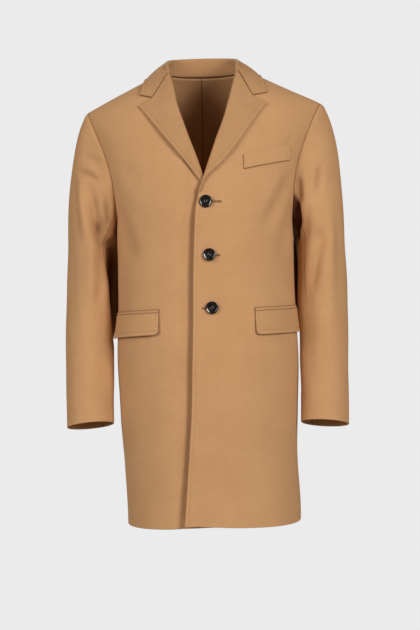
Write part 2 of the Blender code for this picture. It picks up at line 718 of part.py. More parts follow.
def lying_strip(name, side, angle, height, lift, thick, look, home):
    """Piece that lies on a front: its inner face stands off the front's cloth by lift."""
    away = form_normal(side, angle, height)
    point = form(side, angle, height)
    point = point - away * sink(side, own_out(side, point), height)[..., None]
    inner = point + away * np.asarray(lift)[..., None]
    return wall(name, inner + away * thick, inner, look, home)


def pocket_lines(side):
    pocket = POCKET[side]
    across = np.concatenate([[0, 0.03, 0.08], np.linspace(0.16, 1, 8)])
    inner = float(angle_at(side, pocket.inner, pocket.top))
    angle = inner + (pocket.outer_angle - inner) * across
    top = pocket.top + (pocket.outer_top - pocket.top) * across
    return across, angle, top


def flap(name, side, look, home):
    across, angle, top = pocket_lines(side)
    span = form(side, angle, top)
    run = np.concatenate([[0], np.cumsum(np.linalg.norm(np.diff(span, axis=0), axis=-1))])
    short = np.clip(FLAP_CORNER - run, 0, FLAP_CORNER)
    corner = FLAP_CORNER - np.sqrt(FLAP_CORNER**2 - short**2)
    pocket = POCKET[side]
    high = pocket.flap_inner + (pocket.flap_outer - pocket.flap_inner) * across
    down = np.array([0, 0.3, 0.6, 0.85, 1.0])
    drop = (high - corner) * down[:, None]
    height = top - drop
    lift = LYING + pocket.flare * (drop / high) ** 1.5
    angle = np.broadcast_to(angle, height.shape)
    return lying_strip(name, side, angle, height, lift, DOUBLE_CLOTH, look, home)


def jet(name, side, look, home):
    _, angle, top = pocket_lines(side)
    up = np.array([SEAM, JET_HEIGHT / 2, JET_HEIGHT])
    height = top + up[:, None]
    lift = np.full(height.shape, LYING)
    angle = np.broadcast_to(angle, height.shape)
    return lying_strip(name, side, angle, height, lift, JET_PROUD, look, home)


def breast_welt(name, look, home):
    across = np.linspace(0, 1, 8)
    out = WELT_INNER[0] + (WELT_OUTER[0] - WELT_INNER[0]) * across
    middle = WELT_INNER[1] + (WELT_OUTER[1] - WELT_INNER[1]) * across
    height = middle + WELT_HEIGHT * np.array([-0.5, 0, 0.5])[:, None]
    angle = angle_at(LEFT, np.broadcast_to(out, height.shape), height)
    lift = np.full(height.shape, LYING)
    return lying_strip(name, LEFT, angle, height, lift, CLOTH, look, home)


def button(name, out, height, look, home, tools):
    """Turned disc with a raised rim and four holes, standing off the left front."""
    radius = BUTTON_RADIUS
    inner = radius - BUTTON_RIM
    profile = (
        (0.0, 0.0),
        (radius * 0.72, 0.0),
        (radius * 0.95, BUTTON_THICK * 0.30),
        (radius, BUTTON_THICK * 0.55),
        (radius * 0.985, BUTTON_THICK * 0.80),
        (radius - BUTTON_RIM * 0.45, BUTTON_THICK),
        (inner + BUTTON_RIM * 0.15, BUTTON_THICK * 0.92),
        (inner - 0.0010, BUTTON_THICK - BUTTON_DISH),
        (0.0, BUTTON_THICK - BUTTON_DISH),
    )
    mesh = bpy.data.meshes.new(name)
    points = [(r, 0.0, z) for r, z in profile]
    mesh.from_pydata(points, [(i, i + 1) for i in range(len(points) - 1)], [])
    mesh.materials.append(look)
    item = bpy.data.objects.new(name, mesh)
    home.objects.link(item)
    spin = item.modifiers.new("turned", "SCREW")
    spin.steps = 24
    spin.render_steps = 24
    spin.use_merge_vertices = True
    spin.merge_threshold = 0.00001
    spin.use_normal_calculate = True
    for across in (-1, 1):
        for along in (-1, 1):
            bpy.ops.mesh.primitive_cylinder_add(
                vertices=8,
                radius=BUTTON_HOLE,
                depth=BUTTON_THICK * 3,
                location=(across * BUTTON_HOLE_OUT, along * BUTTON_HOLE_OUT, 0),
            )
            drill = bpy.context.object
            drill.name = f"{name}_hole"
            drill.hide_render = True
            drill.display_type = "WIRE"
            for group in list(drill.users_collection):
                group.objects.unlink(drill)
            tools.objects.link(drill)
            drill.parent = item
            cut = item.modifiers.new("hole", "BOOLEAN")
            cut.operation = "DIFFERENCE"
            cut.solver = "EXACT"
            cut.object = drill
    spot = form(LEFT, angle_at(LEFT, out, height), height)
    item.location = (spot[0], spot[1] - BUTTON_STAND, spot[2])
    item.rotation_euler = (math.pi / 2, 0, 0)
    return item


def main():
    clear_scene()
    home = collection("parts")
    tools = collection("cutters")
    wool = material("camel_wool_melton", (0.56, 0.30, 0.14), 0.9, 0.4)
    horn = material("dark_horn", (0.03, 0.024, 0.022), 0.25, 0.0)

    panel("front_left", LEFT, "front", wool, home, FRONT_CLOTH)
    panel("front_right", RIGHT, "front", wool, home, FRONT_CLOTH)
    panel("back_left", LEFT, "back", wool, home, CLOTH)
    panel("back_right", RIGHT, "back", wool, home, CLOTH)

    for word, side in (("left", LEFT), ("right", RIGHT)):
        sleeve_piece(f"top_sleeve_{word}", side, HIND_SEAM - 360, FORE_SEAM, wool, home)
        sleeve_piece(f"under_sleeve_{word}", side, FORE_SEAM, HIND_SEAM, wool, home)
        lapel(f"lapel_{word}", side, wool, home)
        flap(f"flap_{word}", side, wool, home)
        jet(f"jet_{word}", side, wool, home)

    collar("collar", wool, home)
    breast_welt("breast_welt", wool, home)
    for name, (out, height) in BUTTONS.items():
        button(name, out, height, horn, home, tools)


main()
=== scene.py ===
import math

import bmesh
import bpy
import numpy as np
from mathutils import Matrix, Vector


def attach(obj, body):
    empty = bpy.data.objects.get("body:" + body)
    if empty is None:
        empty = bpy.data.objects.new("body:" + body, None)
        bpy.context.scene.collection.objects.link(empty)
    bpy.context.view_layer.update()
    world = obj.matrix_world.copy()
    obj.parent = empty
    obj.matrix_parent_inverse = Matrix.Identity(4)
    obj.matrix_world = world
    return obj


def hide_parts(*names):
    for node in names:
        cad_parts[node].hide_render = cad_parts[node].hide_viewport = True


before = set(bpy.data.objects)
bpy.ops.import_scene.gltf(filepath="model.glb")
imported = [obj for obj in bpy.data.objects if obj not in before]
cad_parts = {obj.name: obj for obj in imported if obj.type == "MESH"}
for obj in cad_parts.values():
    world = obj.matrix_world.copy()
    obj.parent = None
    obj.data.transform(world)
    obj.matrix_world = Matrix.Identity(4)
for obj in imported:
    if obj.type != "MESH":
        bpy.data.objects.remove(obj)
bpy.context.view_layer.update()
print("frame loaded with", len(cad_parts), "pieces")

# Single-breasted wool coat, in metres: X to its left as it is worn, Y to the back, Z up.
left = 1
right = -1
sideWord = {left: "left", right: "right"}


# small helpers

tableSteps = 4000


def unit(vectors):
    return vectors / np.maximum(np.linalg.norm(vectors, axis=-1, keepdims=True), 1e-12)


def ease(share):
    share = np.clip(share, 0, 1)
    return share * share * (3 - 2 * share)


def between(first, last, share):
    return first + (last - first) * share


def readTable(table, column):
    # smooth reading of one column against the table's first column
    at = np.array(next(iter(table.values())), float)
    value = np.array(table[column], float)
    step = np.diff(at)
    slope = np.diff(value) / step
    bend = np.zeros(len(at))
    bend[0] = slope[0]
    bend[-1] = slope[-1]
    for i in range(1, len(at) - 1):
        if slope[i - 1] * slope[i] > 0:
            first = 2 * step[i] + step[i - 1]
            second = step[i] + 2 * step[i - 1]
            bend[i] = (first + second) / (first / slope[i - 1] + second / slope[i])
    dense = np.linspace(at[0], at[-1], tableSteps)
    row = np.clip(np.searchsorted(at, dense) - 1, 0, len(at) - 2)
    t = (dense - at[row]) / step[row]
    smooth = (
        (2 * t**3 - 3 * t**2 + 1) * value[row]
        + (t**3 - 2 * t**2 + t) * step[row] * bend[row]
        + (3 * t**2 - 2 * t**3) * value[row + 1]
        + (t**3 - t**2) * step[row] * bend[row + 1]
    )
    return lambda where: np.interp(where, dense, smooth)


def runLength(grid, axis):
    # distance along the rows or columns of a grid from its first line
    steps = np.linalg.norm(np.diff(grid, axis=axis), axis=-1)
    start = np.zeros_like(np.take(steps, [0], axis=axis))
    return np.concatenate([start, np.cumsum(steps, axis=axis)], axis=axis)


def gridNormals(grid, towards):
    found = unit(np.cross(np.gradient(grid, axis=0), np.gradient(grid, axis=1)))
    return found * np.sign(np.sum(found * towards))


# the body's form, as the coat is cut

bodyCut = {
    "rings": {
        "height": [-0.93, -0.8, -0.69, -0.57, -0.45, -0.31, -0.265, -0.2, -0.147, -0.1, -0.07, 0.05],
        "halfWidth": [0.1765, 0.1775, 0.1815, 0.1855, 0.1812, 0.1805, 0.1895, 0.2075, 0.2245, 0.2415, 0.252,
                      0.27],
        "frontDepth": [0.15, 0.148, 0.1465, 0.144, 0.14, 0.144, 0.142, 0.133, 0.126, 0.121, 0.118, 0.1],
        "backDepth": [0.138, 0.137, 0.137, 0.137, 0.124, 0.127, 0.129, 0.131, 0.131, 0.13, 0.13, 0.133],
        "squareness": [2.5, 2.5, 2.5, 2.5, 2.5, 2.45, 2.45, 2.4, 2.35, 2.25, 2.15, 2.0],
    },
    "shoulderOut": {left: 0.244, right: 0.2295},
    "shoulderHeight": {left: -0.0712, right: -0.077},
    "ridgeMiddle": 0.04,
    "neckRound": 0.06,
    "domeStart": -0.2,
    "domePower": 2.4,
    "hem": -0.922,
    "hemRise": 0.005,
    "underarm": -0.31,
    "neckline": 0.0,
    "sway": 0.0055,  # the skirt hangs a little towards the left
    "swayFrom": -0.74,
    "swayLength": 0.17,
    "backCalm": 0.02,  # folds fade out this near to the centre back seam
}
frontEdge = {
    "height": [-0.93, -0.846, -0.766, -0.687, -0.595, -0.517, -0.432, -0.348, -0.29, -0.276, -0.262, -0.245,
               -0.227, -0.213, -0.201, -0.177, -0.153, -0.129, -0.105, -0.08, -0.055, -0.03, -0.015, 0.000,
               0.01],
    "over": [-0.059, -0.0494, -0.04, -0.0338, -0.0303, -0.0271, -0.0249, -0.021, -0.0168, -0.0142, -0.0094,
             -0.003, 0.0041, 0.0094, 0.0136, 0.0222, 0.0306, 0.04, 0.0484, 0.0556, 0.0622, 0.0685, 0.0719,
             0.0748, 0.077],
    "under": [-0.04, -0.0395, -0.039, -0.0382, -0.0375, -0.0369, -0.036, -0.0335, -0.025, -0.0185,
              -0.012, -0.006, 0.003, 0.0083, 0.0122, 0.0206, 0.0296, 0.0376, 0.0454, 0.0524, 0.0568, 0.0616,
              0.0652, 0.069, 0.0715],
}
lapOver = {  # how far the right front lies below the left one
    "height": [-0.93, -0.35, -0.24, -0.2, -0.12, 0.05],
    "depth": [0.008, 0.0085, 0.0095, 0.0085, 0.0, 0.0],
}
lapLeastOut = 0.012
lapPastEdge = 0.004
lapSlope = 0.03  # width of the slope beside the left edge
armholeCut = {
    "front": 0.066,
    "back": 0.078,
    "egg": 0.2,
    "calm": 0.015,  # folds fade out this near to it
    "step": 6.0,
}
formSearch = {"reach": 0.4, "halvings": 36}
normalStep = {"angle": 0.3, "height": 0.0008, "turn": 0.6, "row": 0.005}  # to the points that give a normal

halfWidth, frontDepth, backDepth, squareness = (
    readTable(bodyCut["rings"], name) for name in list(bodyCut["rings"])[1:])
edgeOut = {left: readTable(frontEdge, "over"), right: readTable(frontEdge, "under")}
lapDepth = readTable(lapOver, "depth")


def ridgeHeight(side, out):
    # the shoulder line, rounded off between the neck points
    out = np.abs(out)
    neck = bodyCut["neckRound"]
    out = np.where(out < neck, (out**2 + neck**2) / (2 * neck), out)
    fall = (bodyCut["shoulderHeight"][side] - bodyCut["ridgeMiddle"]) / bodyCut["shoulderOut"][side]
    return bodyCut["ridgeMiddle"] + fall * out


def bodyDepth(side, out, height, back, ring=None):
    power, wide, deep = ring if ring else ringAt(height, back)
    flat = np.clip(1 - (np.abs(out) / wide) ** power, 0, 1) ** (1 / power)
    start = bodyCut["domeStart"]
    rise = np.clip((height - start) / (ridgeHeight(side, out) - start), 0, 1)
    dome = bodyCut["domePower"]
    return deep * flat * (1 - rise**dome) ** (1 / dome)


def ringAt(height, back):
    return squareness(height), halfWidth(height), np.where(back, backDepth(height), frontDepth(height))


def sway(height):
    return bodyCut["sway"] * ease((bodyCut["swayFrom"] - height) / bodyCut["swayLength"])


def ownOut(side, point):
    # how far out a point lies on its own side, without the sway
    return side * (point[..., 0] - sway(point[..., 2]))


def reachInside(isInside, shape):
    # how far out the form goes, found by halving
    low = np.zeros(shape)
    high = np.full(shape, formSearch["reach"])
    for _ in range(formSearch["halvings"]):
        middle = (low + high) / 2
        inside = isInside(middle)
        low = np.where(inside, middle, low)
        high = np.where(inside, high, middle)
    return low


def bodyForm(side, angle, height):
    # -90 degrees is the front, 0 the side and 90 the back
    angle, height = np.broadcast_arrays(np.radians(angle), np.asarray(height, float))
    across = np.cos(angle)
    along = np.abs(np.sin(angle))
    back = np.sin(angle) > 0
    ring = ringAt(height, back)
    far = reachInside(lambda r: bodyDepth(side, r * across, height, back, ring) > r * along, angle.shape)
    return np.stack([side * far * across + sway(height), far * np.sin(angle), height], -1)


def bodyNormal(side, angle, height):
    turn = normalStep["angle"]
    rise = normalStep["height"]
    byAngle = bodyForm(side, angle + turn, height) - bodyForm(side, angle - turn, height)
    byHeight = bodyForm(side, angle, height + rise) - bodyForm(side, angle, height - rise)
    return unit(np.cross(byAngle, byHeight) * side)


def frontAngle(side, out, height):
    return np.degrees(np.arctan2(-bodyDepth(side, out, height, np.zeros(np.shape(height), bool)), out))


def backAngle(side, out, height):
    return np.degrees(np.arctan2(bodyDepth(side, out, height, np.ones(np.shape(height), bool)), out))


def lapSink(side, out, height):
    if side == left:
        return np.zeros(np.broadcast(out, height).shape)
    full = np.maximum(-edgeOut[left](height), lapLeastOut) + lapPastEdge
    return lapDepth(height) * ease((full + lapSlope - out) / lapSlope)


def armhole(side, turn):
    # 0 degrees is the shoulder, 90 the front and 180 the underarm
    turn = np.radians(np.asarray(turn, float))
    top = bodyCut["shoulderHeight"][side]
    low = bodyCut["underarm"]
    height = (top + low) / 2 + (top - low) / 2 * np.cos(turn)
    reach = np.where(np.sin(turn) > 0, armholeCut["front"], armholeCut["back"])
    y = -reach * np.sin(turn) * (1 - armholeCut["egg"] * np.cos(turn))
    ring = ringAt(height, y > 0)
    far = reachInside(lambda r: bodyDepth(side, r, height, y > 0, ring) > np.abs(y), turn.shape)
    return np.stack([side * far, y, height], -1)


def armholeAngle(side, turn):
    point = armhole(side, turn)
    return np.degrees(np.arctan2(point[..., 1], side * point[..., 0])), point[..., 2]


# the sleeves' form

sleeveCut = {
    "rings": {
        "height": [-0.73, -0.65, -0.55, -0.45, -0.355, -0.3],
        "x": [0.237, 0.2388, 0.2405, 0.2385, 0.2365, 0.2355],
        "y": [-0.048, -0.031, -0.011, 0.002, 0.006, 0.0065],
        "halfWidth": [0.048, 0.048, 0.0483, 0.0495, 0.0475, 0.047],
        "halfDepth": [0.046, 0.051, 0.058, 0.066, 0.0735, 0.075],
        "tilt": [0.23, 0.16, 0.07, 0.01, 0.0, 0.0],
    },
    "biceps": -0.355,
    "cuff": {left: -0.7255, right: -0.7195},
    "out": {left: 0.003, right: -0.0015},
    "swing": {left: -0.006, right: 0.0065},
    "cuffSlope": 0.004,
    "cuffSlopeFrom": -0.6,
    "cuffSlopeLength": 0.12,
    "bulge": 0.013,  # the under sleeve fills out towards the body behind the armpit
    "bulgeTurn": 212,
    "bulgePower": 6,
    "bulgeEnd": -0.59,
    "bulgeFade": 0.11,
    "foreSeam": 140,
    "hindSeam": 240,
    "capLeave": {"out": (0.45, 0.3), "forward": -0.25, "down": -0.7},  # the way the cap leaves the armhole
    "capFull": (0.029, 0.019),  # how far it goes that way, and how much further at the shoulder
    "capFall": (0.056, 0.044),  # how high above the biceps it falls straight, and how much higher there
}
sleeveRead = {name: readTable(sleeveCut["rings"], name) for name in list(sleeveCut["rings"])[1:]}


def sleeveRing(side, turn, height):
    turn, height = np.broadcast_arrays(np.radians(turn), np.asarray(height, float))
    cut = sleeveCut
    biceps = cut["biceps"]
    swing = cut["out"][side] + cut["swing"][side] * (biceps - height) / (biceps - cut["cuff"][side])
    bulge = np.clip(np.cos(turn - math.radians(cut["bulgeTurn"])), 0, 1) ** cut["bulgePower"]
    bulge = cut["bulge"] * bulge * ease((height - cut["bulgeEnd"]) / cut["bulgeFade"])
    x = sleeveRead["x"](height) + swing + sleeveRead["halfWidth"](height) * np.cos(turn) - bulge
    forward = -sleeveRead["halfDepth"](height) * np.sin(turn)
    slope = cut["cuffSlope"] * ease((cut["cuffSlopeFrom"] - height) / cut["cuffSlopeLength"]) * np.cos(turn)
    z = height - sleeveRead["tilt"](height) * forward - slope
    return np.stack([side * x, sleeveRead["y"](height) + forward, z], -1)


def sleeveForm(side, turn, row):
    # rows 0 to 1 are the cap, 1 to 2 run from there to the cuff
    turn, row = np.broadcast_arrays(np.asarray(turn, float), np.asarray(row, float))
    cosine = np.cos(np.radians(turn))
    sine = np.sin(np.radians(turn))
    biceps = sleeveCut["biceps"]
    leave = sleeveCut["capLeave"]
    full = sleeveCut["capFull"]
    fall = sleeveCut["capFall"]
    start = armhole(side, turn)
    end = sleeveRing(side, turn, np.full(turn.shape, biceps))
    outward = side * (leave["out"][0] + leave["out"][1] * cosine)
    way = unit(np.stack([outward, leave["forward"] * sine, np.full(turn.shape, leave["down"])], -1))
    first = start + way * (full[0] + full[1] * cosine)[..., None]
    second = end + np.array([0, 0, 1.0]) * (fall[0] + fall[1] * cosine)[..., None]
    t = np.clip(row, 0, 1)[..., None]
    cap = (1 - t) ** 3 * start + 3 * t * (1 - t) ** 2 * first + 3 * t**2 * (1 - t) * second + t**3 * end
    low = between(biceps, sleeveCut["cuff"][side], np.clip(row - 1, 0, 1))
    return np.where((row > 1)[..., None], sleeveRing(side, turn, low), cap)


def sleeveNormal(side, turn, row):
    step = normalStep["turn"]
    down = normalStep["row"]
    row = np.clip(row, 0.0, 2 - down)
    byTurn = sleeveForm(side, turn + step, row) - sleeveForm(side, turn - step, row)
    byRow = sleeveForm(side, turn, row + down) - sleeveForm(side, turn, np.maximum(row - down, 0))
    return unit(np.cross(byTurn, byRow) * side)


# folds: soft troughs (depth below zero) and ridges, each along a short path on the form

def foldRows(table):
    # dark paints a hollow darker than this light makes it, fade is the share of its length that an end takes
    columns = ("from", "to", "bow", "width", "depth", "dark", "fade")
    return {side: [dict(zip(columns, row)) for row in rows] for side, rows in table.items()}


frontFolds = foldRows({  # ends as (out from the middle, height)
    right: [
        ((0.18, -0.262), (0.132, -0.4), 0.008, 0.017, -0.005),
        ((0.168, -0.205), (0.118, -0.226), 0.004, 0.018, -0.003),
        ((0.178, -0.3), (0.15, -0.395), 0.006, 0.016, -0.0022),
        ((0.12, -0.56), (0.128, -0.86), 0.004, 0.03, -0.0022),
        ((0.07, -0.56), (0.078, -0.9), -0.004, 0.034, 0.0018),
    ],
    left: [
        ((0.178, -0.212), (0.112, -0.335), -0.008, 0.014, -0.0072),
        ((0.184, -0.143), (0.165, -0.17), 0.001, 0.006, -0.0016),
        ((0.172, -0.29), (0.15, -0.42), 0.006, 0.016, -0.0026),
        ((0.135, -0.56), (0.14, -0.88), 0.005, 0.028, -0.002),
        ((0.06, -0.53), (0.05, -0.9), -0.005, 0.036, 0.0015),
    ],
})
backFolds = foldRows({
    right: [
        ((0.172, -0.255), (0.118, -0.35), 0.008, 0.015, -0.0062),
        ((0.15, -0.19), (0.12, -0.3), 0.006, 0.016, -0.0044),
        ((0.12, -0.42), (0.07, -0.45), 0.004, 0.016, -0.0018),
        ((0.09, -0.48), (0.1, -0.89), 0.008, 0.03, -0.0046),
        ((0.045, -0.52), (0.05, -0.9), -0.004, 0.026, 0.0022),
    ],
    left: [
        ((0.174, -0.245), (0.11, -0.362), 0.01, 0.016, -0.0066),
        ((0.154, -0.185), (0.128, -0.27), 0.004, 0.013, -0.004),
        ((0.132, -0.405), (0.085, -0.446), 0.005, 0.015, -0.002),
        ((0.105, -0.5), (0.112, -0.88), -0.006, 0.028, -0.0042),
        ((0.055, -0.5), (0.048, -0.89), 0.006, 0.028, 0.002),
    ],
})
sleeveFolds = foldRows({  # ends as (turn, row)
    right: [
        ((43, 0.5), (91, 0.31), 0.0, 0.0062, -0.006, 0.12),
        ((46, 0.36), (86, 0.13), 0.0, 0.008, -0.0035, 0.09),
        ((74, 0.45), (130, 0.9), 0.002, 0.009, -0.01, 0.09),
        ((50, 0.44), (96, 0.98), 0.002, 0.0095, 0.006),
        ((98, 0.88), (99, 1.42), 0.002, 0.011, 0.0035),
        ((107, 0.3), (138, 0.58), 0.002, 0.0065, -0.0065, 0.16),
        ((108, 0.56), (146, 1.24), 0.004, 0.016, -0.012, 0.12),
        ((120, 0.95), (118, 1.32), -0.004, 0.012, -0.0034),
        ((52, 0.95), (60, 1.6), 0.003, 0.015, -0.0016),
        ((150, 1.1), (98, 1.36), 0.004, 0.01, -0.002),
        ((200, 0.72), (262, 0.98), 0.006, 0.011, -0.0042),
        ((280, 0.42), (245, 0.8), -0.005, 0.01, -0.0036),
        ((300, 1.18), (255, 1.32), 0.004, 0.011, -0.003),
        ((-30, 0.62), (-10, 1.15), 0.004, 0.015, -0.0018),
        ((150, 0.64), (172, 1.5), 0.0, 0.015, -0.015, 0.2),
        ((168, 0.84), (176, 1.64), 0.0, 0.014, 0.0, 0.9),
        ((156, 1.4), (158, 1.95), 0.0, 0.015, 0.0055),
        ((96, 0.06), (122, 1.2), 0.0, 0.017, 0.0, 0.11),
        ((46, 0.1), (108, 0.14), 0.0, 0.015, 0.0, 0.12),
        ((112, 0.45), (128, 1.2), 0.0, 0.01, 0.0, 0.11),
        ((184, 1.05), (192, 1.8), 0.0, 0.013, -0.011),
    ],
    left: [
        ((62, 0.38), (84, 0.56), 0.002, 0.007, -0.005, 0.08),
        ((100, 0.1), (126, 0.34), 0.002, 0.007, -0.008, 0.25),
        ((86, 0.84), (126, 1.32), -0.008, 0.012, -0.011),
        ((66, 0.68), (84, 1.62), 0.003, 0.014, 0.0026),
        ((104, 0.42), (100, 0.92), -0.003, 0.013, 0.0026),
        ((46, 0.66), (52, 1.5), 0.003, 0.015, -0.0018),
        ((128, 0.5), (138, 0.92), 0.003, 0.01, -0.003),
        ((198, 0.7), (258, 0.95), 0.006, 0.011, -0.004),
        ((282, 0.46), (248, 0.84), -0.004, 0.011, -0.0038),
        ((296, 1.22), (250, 1.38), 0.005, 0.012, -0.0032),
        ((-25, 0.66), (-12, 1.2), 0.004, 0.015, -0.0018),
        ((125, 0.02), (154, 0.62), 0.0, 0.008, -0.015),
        ((150, 0.16), (172, 0.96), 0.0, 0.0085, -0.012, 0.9),
        ((132, 0.04), (176, 0.86), 0.0, 0.0072, 0.0, 1.0, 0.15),
        ((140, 0.24), (225, 0.3), 0.0, 0.015, 0.0, 1.0),
        ((124, 0.01), (180, 0.03), 0.0, 0.006, 0.0, 1.0, 0.08),
        ((15, 0.12), (62, 0.16), 0.0, 0.014, 0.0, 0.09),
        ((183, 0.46), (197, 1.64), 0.0, 0.011, 0.0, 0.9),
        ((156, 1.1), (158, 1.92), 0.0, 0.015, 0.006),
        ((92, 0.02), (128, 0.44), 0.0, 0.012, 0.0, 0.18),
        ((184, 0.95), (192, 1.8), 0.0, 0.013, -0.011),
    ],
})
foldShape = {
    "steps": 15,
    "lip": 0.15,  # how much the cloth beside a fold rises
    "lipAt": 1.9,
    "lipWidth": 0.8,
    "fade": 0.35,
    "atEnds": 0.1,
    "reach": 4,  # widths beyond which a fold isn't worked out
}


def foldLine(fold, place):
    # points of the fold on the form, bowed sideways
    t = np.linspace(0, 1, foldShape["steps"])[:, None]
    ends = np.array([fold["from"], fold["to"]])
    flat = between(ends[0], ends[1], t)
    line = place(flat[:, 0], flat[:, 1])
    along = unit(line[-1] - line[0])
    outward = unit(line.mean(0) * np.array([1, 1, 0]))
    return line + np.cross(along, outward) * (4 * t * (1 - t) * fold["bow"])


def foldRise(points, folds, lines, word="depth"):
    rise = np.zeros(points.shape[:-1])
    flat = points.reshape(-1, 3)
    for fold, line in zip(folds, lines):
        most = fold.get(word, 0)
        if not most:
            continue
        start = line[:-1]
        span = np.diff(line, axis=0)
        reach = np.linalg.norm(span, axis=-1).sum() / 2 + fold["width"] * foldShape["reach"]
        near = np.linalg.norm(flat - line.mean(0), axis=-1) < reach
        some = flat[near]
        if not len(some):
            continue
        share = np.clip(((some[:, None] - start) * span).sum(-1) / (span**2).sum(-1), 0, 1)
        gap = np.linalg.norm(some[:, None] - start - share[..., None] * span, axis=-1)
        best = gap.argmin(1)
        rows = np.arange(len(some))
        far = gap[rows, best] / fold["width"]
        t = (best + share[rows, best]) / len(span)
        end = fold.get("fade", foldShape["fade"])
        fade = ease(t / end) * ease((1 - t) / end) * (1 - foldShape["atEnds"]) + foldShape["atEnds"]
        lip = np.exp(-((far - foldShape["lipAt"]) / foldShape["lipWidth"]) ** 2)
        shape = np.exp(-far**2) - foldShape["lip"] * lip
        rise.reshape(-1)[near] += most * shape * fade
    return rise


slowDrift = 0.0009
quickDrift = 0.0005


def drift(points):
    # the slow unevenness of hanging cloth, in waves of about 0.2 to 0.4 m
    x, y, z = np.moveaxis(points, -1, 0)
    slow = np.sin(17 * x + 9 * z + 0.6) * np.sin(13 * z - 11 * y + 1.1)
    quick = np.sin(31 * x - 21 * z + 2.0) * np.sin(27 * z + 24 * y)
    return slowDrift * slow + quickDrift * quick


bodyLines = {}
sleeveLines = {}
armholeLine = {}
for side in (left, right):
    onFront = [foldLine(f, lambda o, h: bodyForm(side, frontAngle(side, o, h), h)) for f in frontFolds[side]]
    onBack = [foldLine(f, lambda o, h: bodyForm(side, backAngle(side, o, h), h)) for f in backFolds[side]]
    bodyLines[side] = onFront + onBack
    sleeveLines[side] = [foldLine(f, lambda t, r: sleeveForm(side, t, r)) for f in sleeveFolds[side]]
    armholeLine[side] = armhole(side, np.arange(0, 360, armholeCut["step"]))


def awayFromArmhole(side, points):
    flat = points.reshape(-1, 1, 3)
    gap = np.sqrt(((flat - armholeLine[side]) ** 2).sum(-1).min(1)).reshape(points.shape[:-1])
    return ease(gap / armholeCut["calm"])


# the left front edge stands off the right front
edgeStand = {"atBreak": 0.0045, "atHem": 0.008, "reach": 0.018, "top": -0.262, "start": 0.08}


def bodySkin(side, angle, height, lift=0.0):
    # outer face of the body's cloth, with its folds
    angle, height = np.broadcast_arrays(np.asarray(angle, float), np.asarray(height, float))
    point = bodyForm(side, angle, height)
    away = bodyNormal(side, angle, height)
    rise = foldRise(point, frontFolds[side] + backFolds[side], bodyLines[side]) + drift(point)
    rise = rise * awayFromArmhole(side, point)
    middle = np.where(angle > 0, ease(np.abs(point[..., 0]) / bodyCut["backCalm"]), 1)
    out = ownOut(side, point)
    rise = rise * middle - np.where(angle < 0, lapSink(side, out, height), 0)
    if side == left:
        nearEdge = np.exp(-np.clip(out - edgeOut[left](height), 0, 1) / edgeStand["reach"])
        down = (edgeStand["top"] - height) / (edgeStand["top"] - bodyCut["hem"])
        stand = between(edgeStand["atBreak"], edgeStand["atHem"], np.clip(down, 0, 1))
        rise = rise + np.where(angle < 0, stand * nearEdge * ease(down / edgeStand["start"]), 0)
    return point + away * (rise + lift)[..., None], away


def frontSkin(side, out, height, lift=0.0):
    out, height = np.broadcast_arrays(np.asarray(out, float), np.asarray(height, float))
    return bodySkin(side, frontAngle(side, out, height), height, lift)


sleeveHead = {
    "foldsFrom": 0.12,
    "driftFrom": 0.3,
    "rope": 0.0013,  # small ridge along the top of the armhole seam
    "ropeRow": 0.055,
    "ropeWidth": 0.045,
    "ropePast": 0.35,
}


def sleeveSkin(side, turn, row):
    cut = sleeveHead
    point = sleeveForm(side, turn, row)
    away = sleeveNormal(side, turn, row)
    rise = foldRise(point, sleeveFolds[side], sleeveLines[side]) * ease(row / cut["foldsFrom"])
    rise = rise + drift(point) * ease(row / cut["driftFrom"])
    roped = np.exp(-(((row - cut["ropeRow"]) / cut["ropeWidth"]) ** 2))
    roped = roped * np.clip(np.cos(np.radians(turn)) + cut["ropePast"], 0, 1)
    dark = np.clip(foldRise(point, sleeveFolds[side], sleeveLines[side], "dark"), 0, 1)
    return point + away * (rise + cut["rope"] * roped)[..., None], away, dark


print("form and folds ready")


# cloth pieces: a grid of points through the middle of the cloth, closed with rounded edges

edgeSteps = {  # distances of the first lines from an edge
    "seam": [0.0, 0.00025, 0.0008, 0.002],
    "fold": [0.0, 0.0003, 0.0009, 0.0018, 0.004],
    "stitched": [0.0, 0.0003, 0.0009, 0.0018, 0.004, 0.0061, 0.007, 0.0078, 0.0086, 0.0095, 0.012],
}
edgeRound = {"seam": 0.0011, "fold": 0.0016, "stitched": 0.0016}
edgeShadeWidth = {"seam": 0.0011, "fold": 0.0004, "stitched": 0.0004}  # width of the painted shade line along an edge
edgeShadeMost = {"seam": 0.82, "fold": 0.66, "stitched": 0.66}
edgeWearAndHighlight = 0.003  # width of the worn nap along an edge, lightened further as a painted highlight
edgeLines = [np.s_[:, 0:2], np.s_[:, -1:-3:-1], np.s_[0:2], np.s_[-1:-3:-1]]
seamOverlap = 0.00025  # sewn edges reach this far past the seam, so that no light comes through
mergeGap = 0.000004
stitchLine = {"distance": 0.0078, "width": 0.0014, "depth": 0.00075}
cloths = {}


def spacedShares(fine, shares, firstKind, lastKind, count):
    # shares across each row that put lines at fixed distances from both of its ends
    run = runLength(fine, 1)
    first = np.array(edgeSteps[firstKind])
    last = np.array(edgeSteps[lastKind])
    spread = np.linspace(0, 1, count)[1:-1]
    made = []
    for along in run:
        total = along[-1]
        inside = first[-1] + (total - last[-1] - first[-1]) * spread
        made.append(np.interp(np.concatenate([first, inside, total - last[::-1]]), along, shares))
    return np.array(made)


def pressed(distance):
    return stitchLine["depth"] * np.exp(-(((distance - stitchLine["distance"]) / stitchLine["width"]) ** 2))


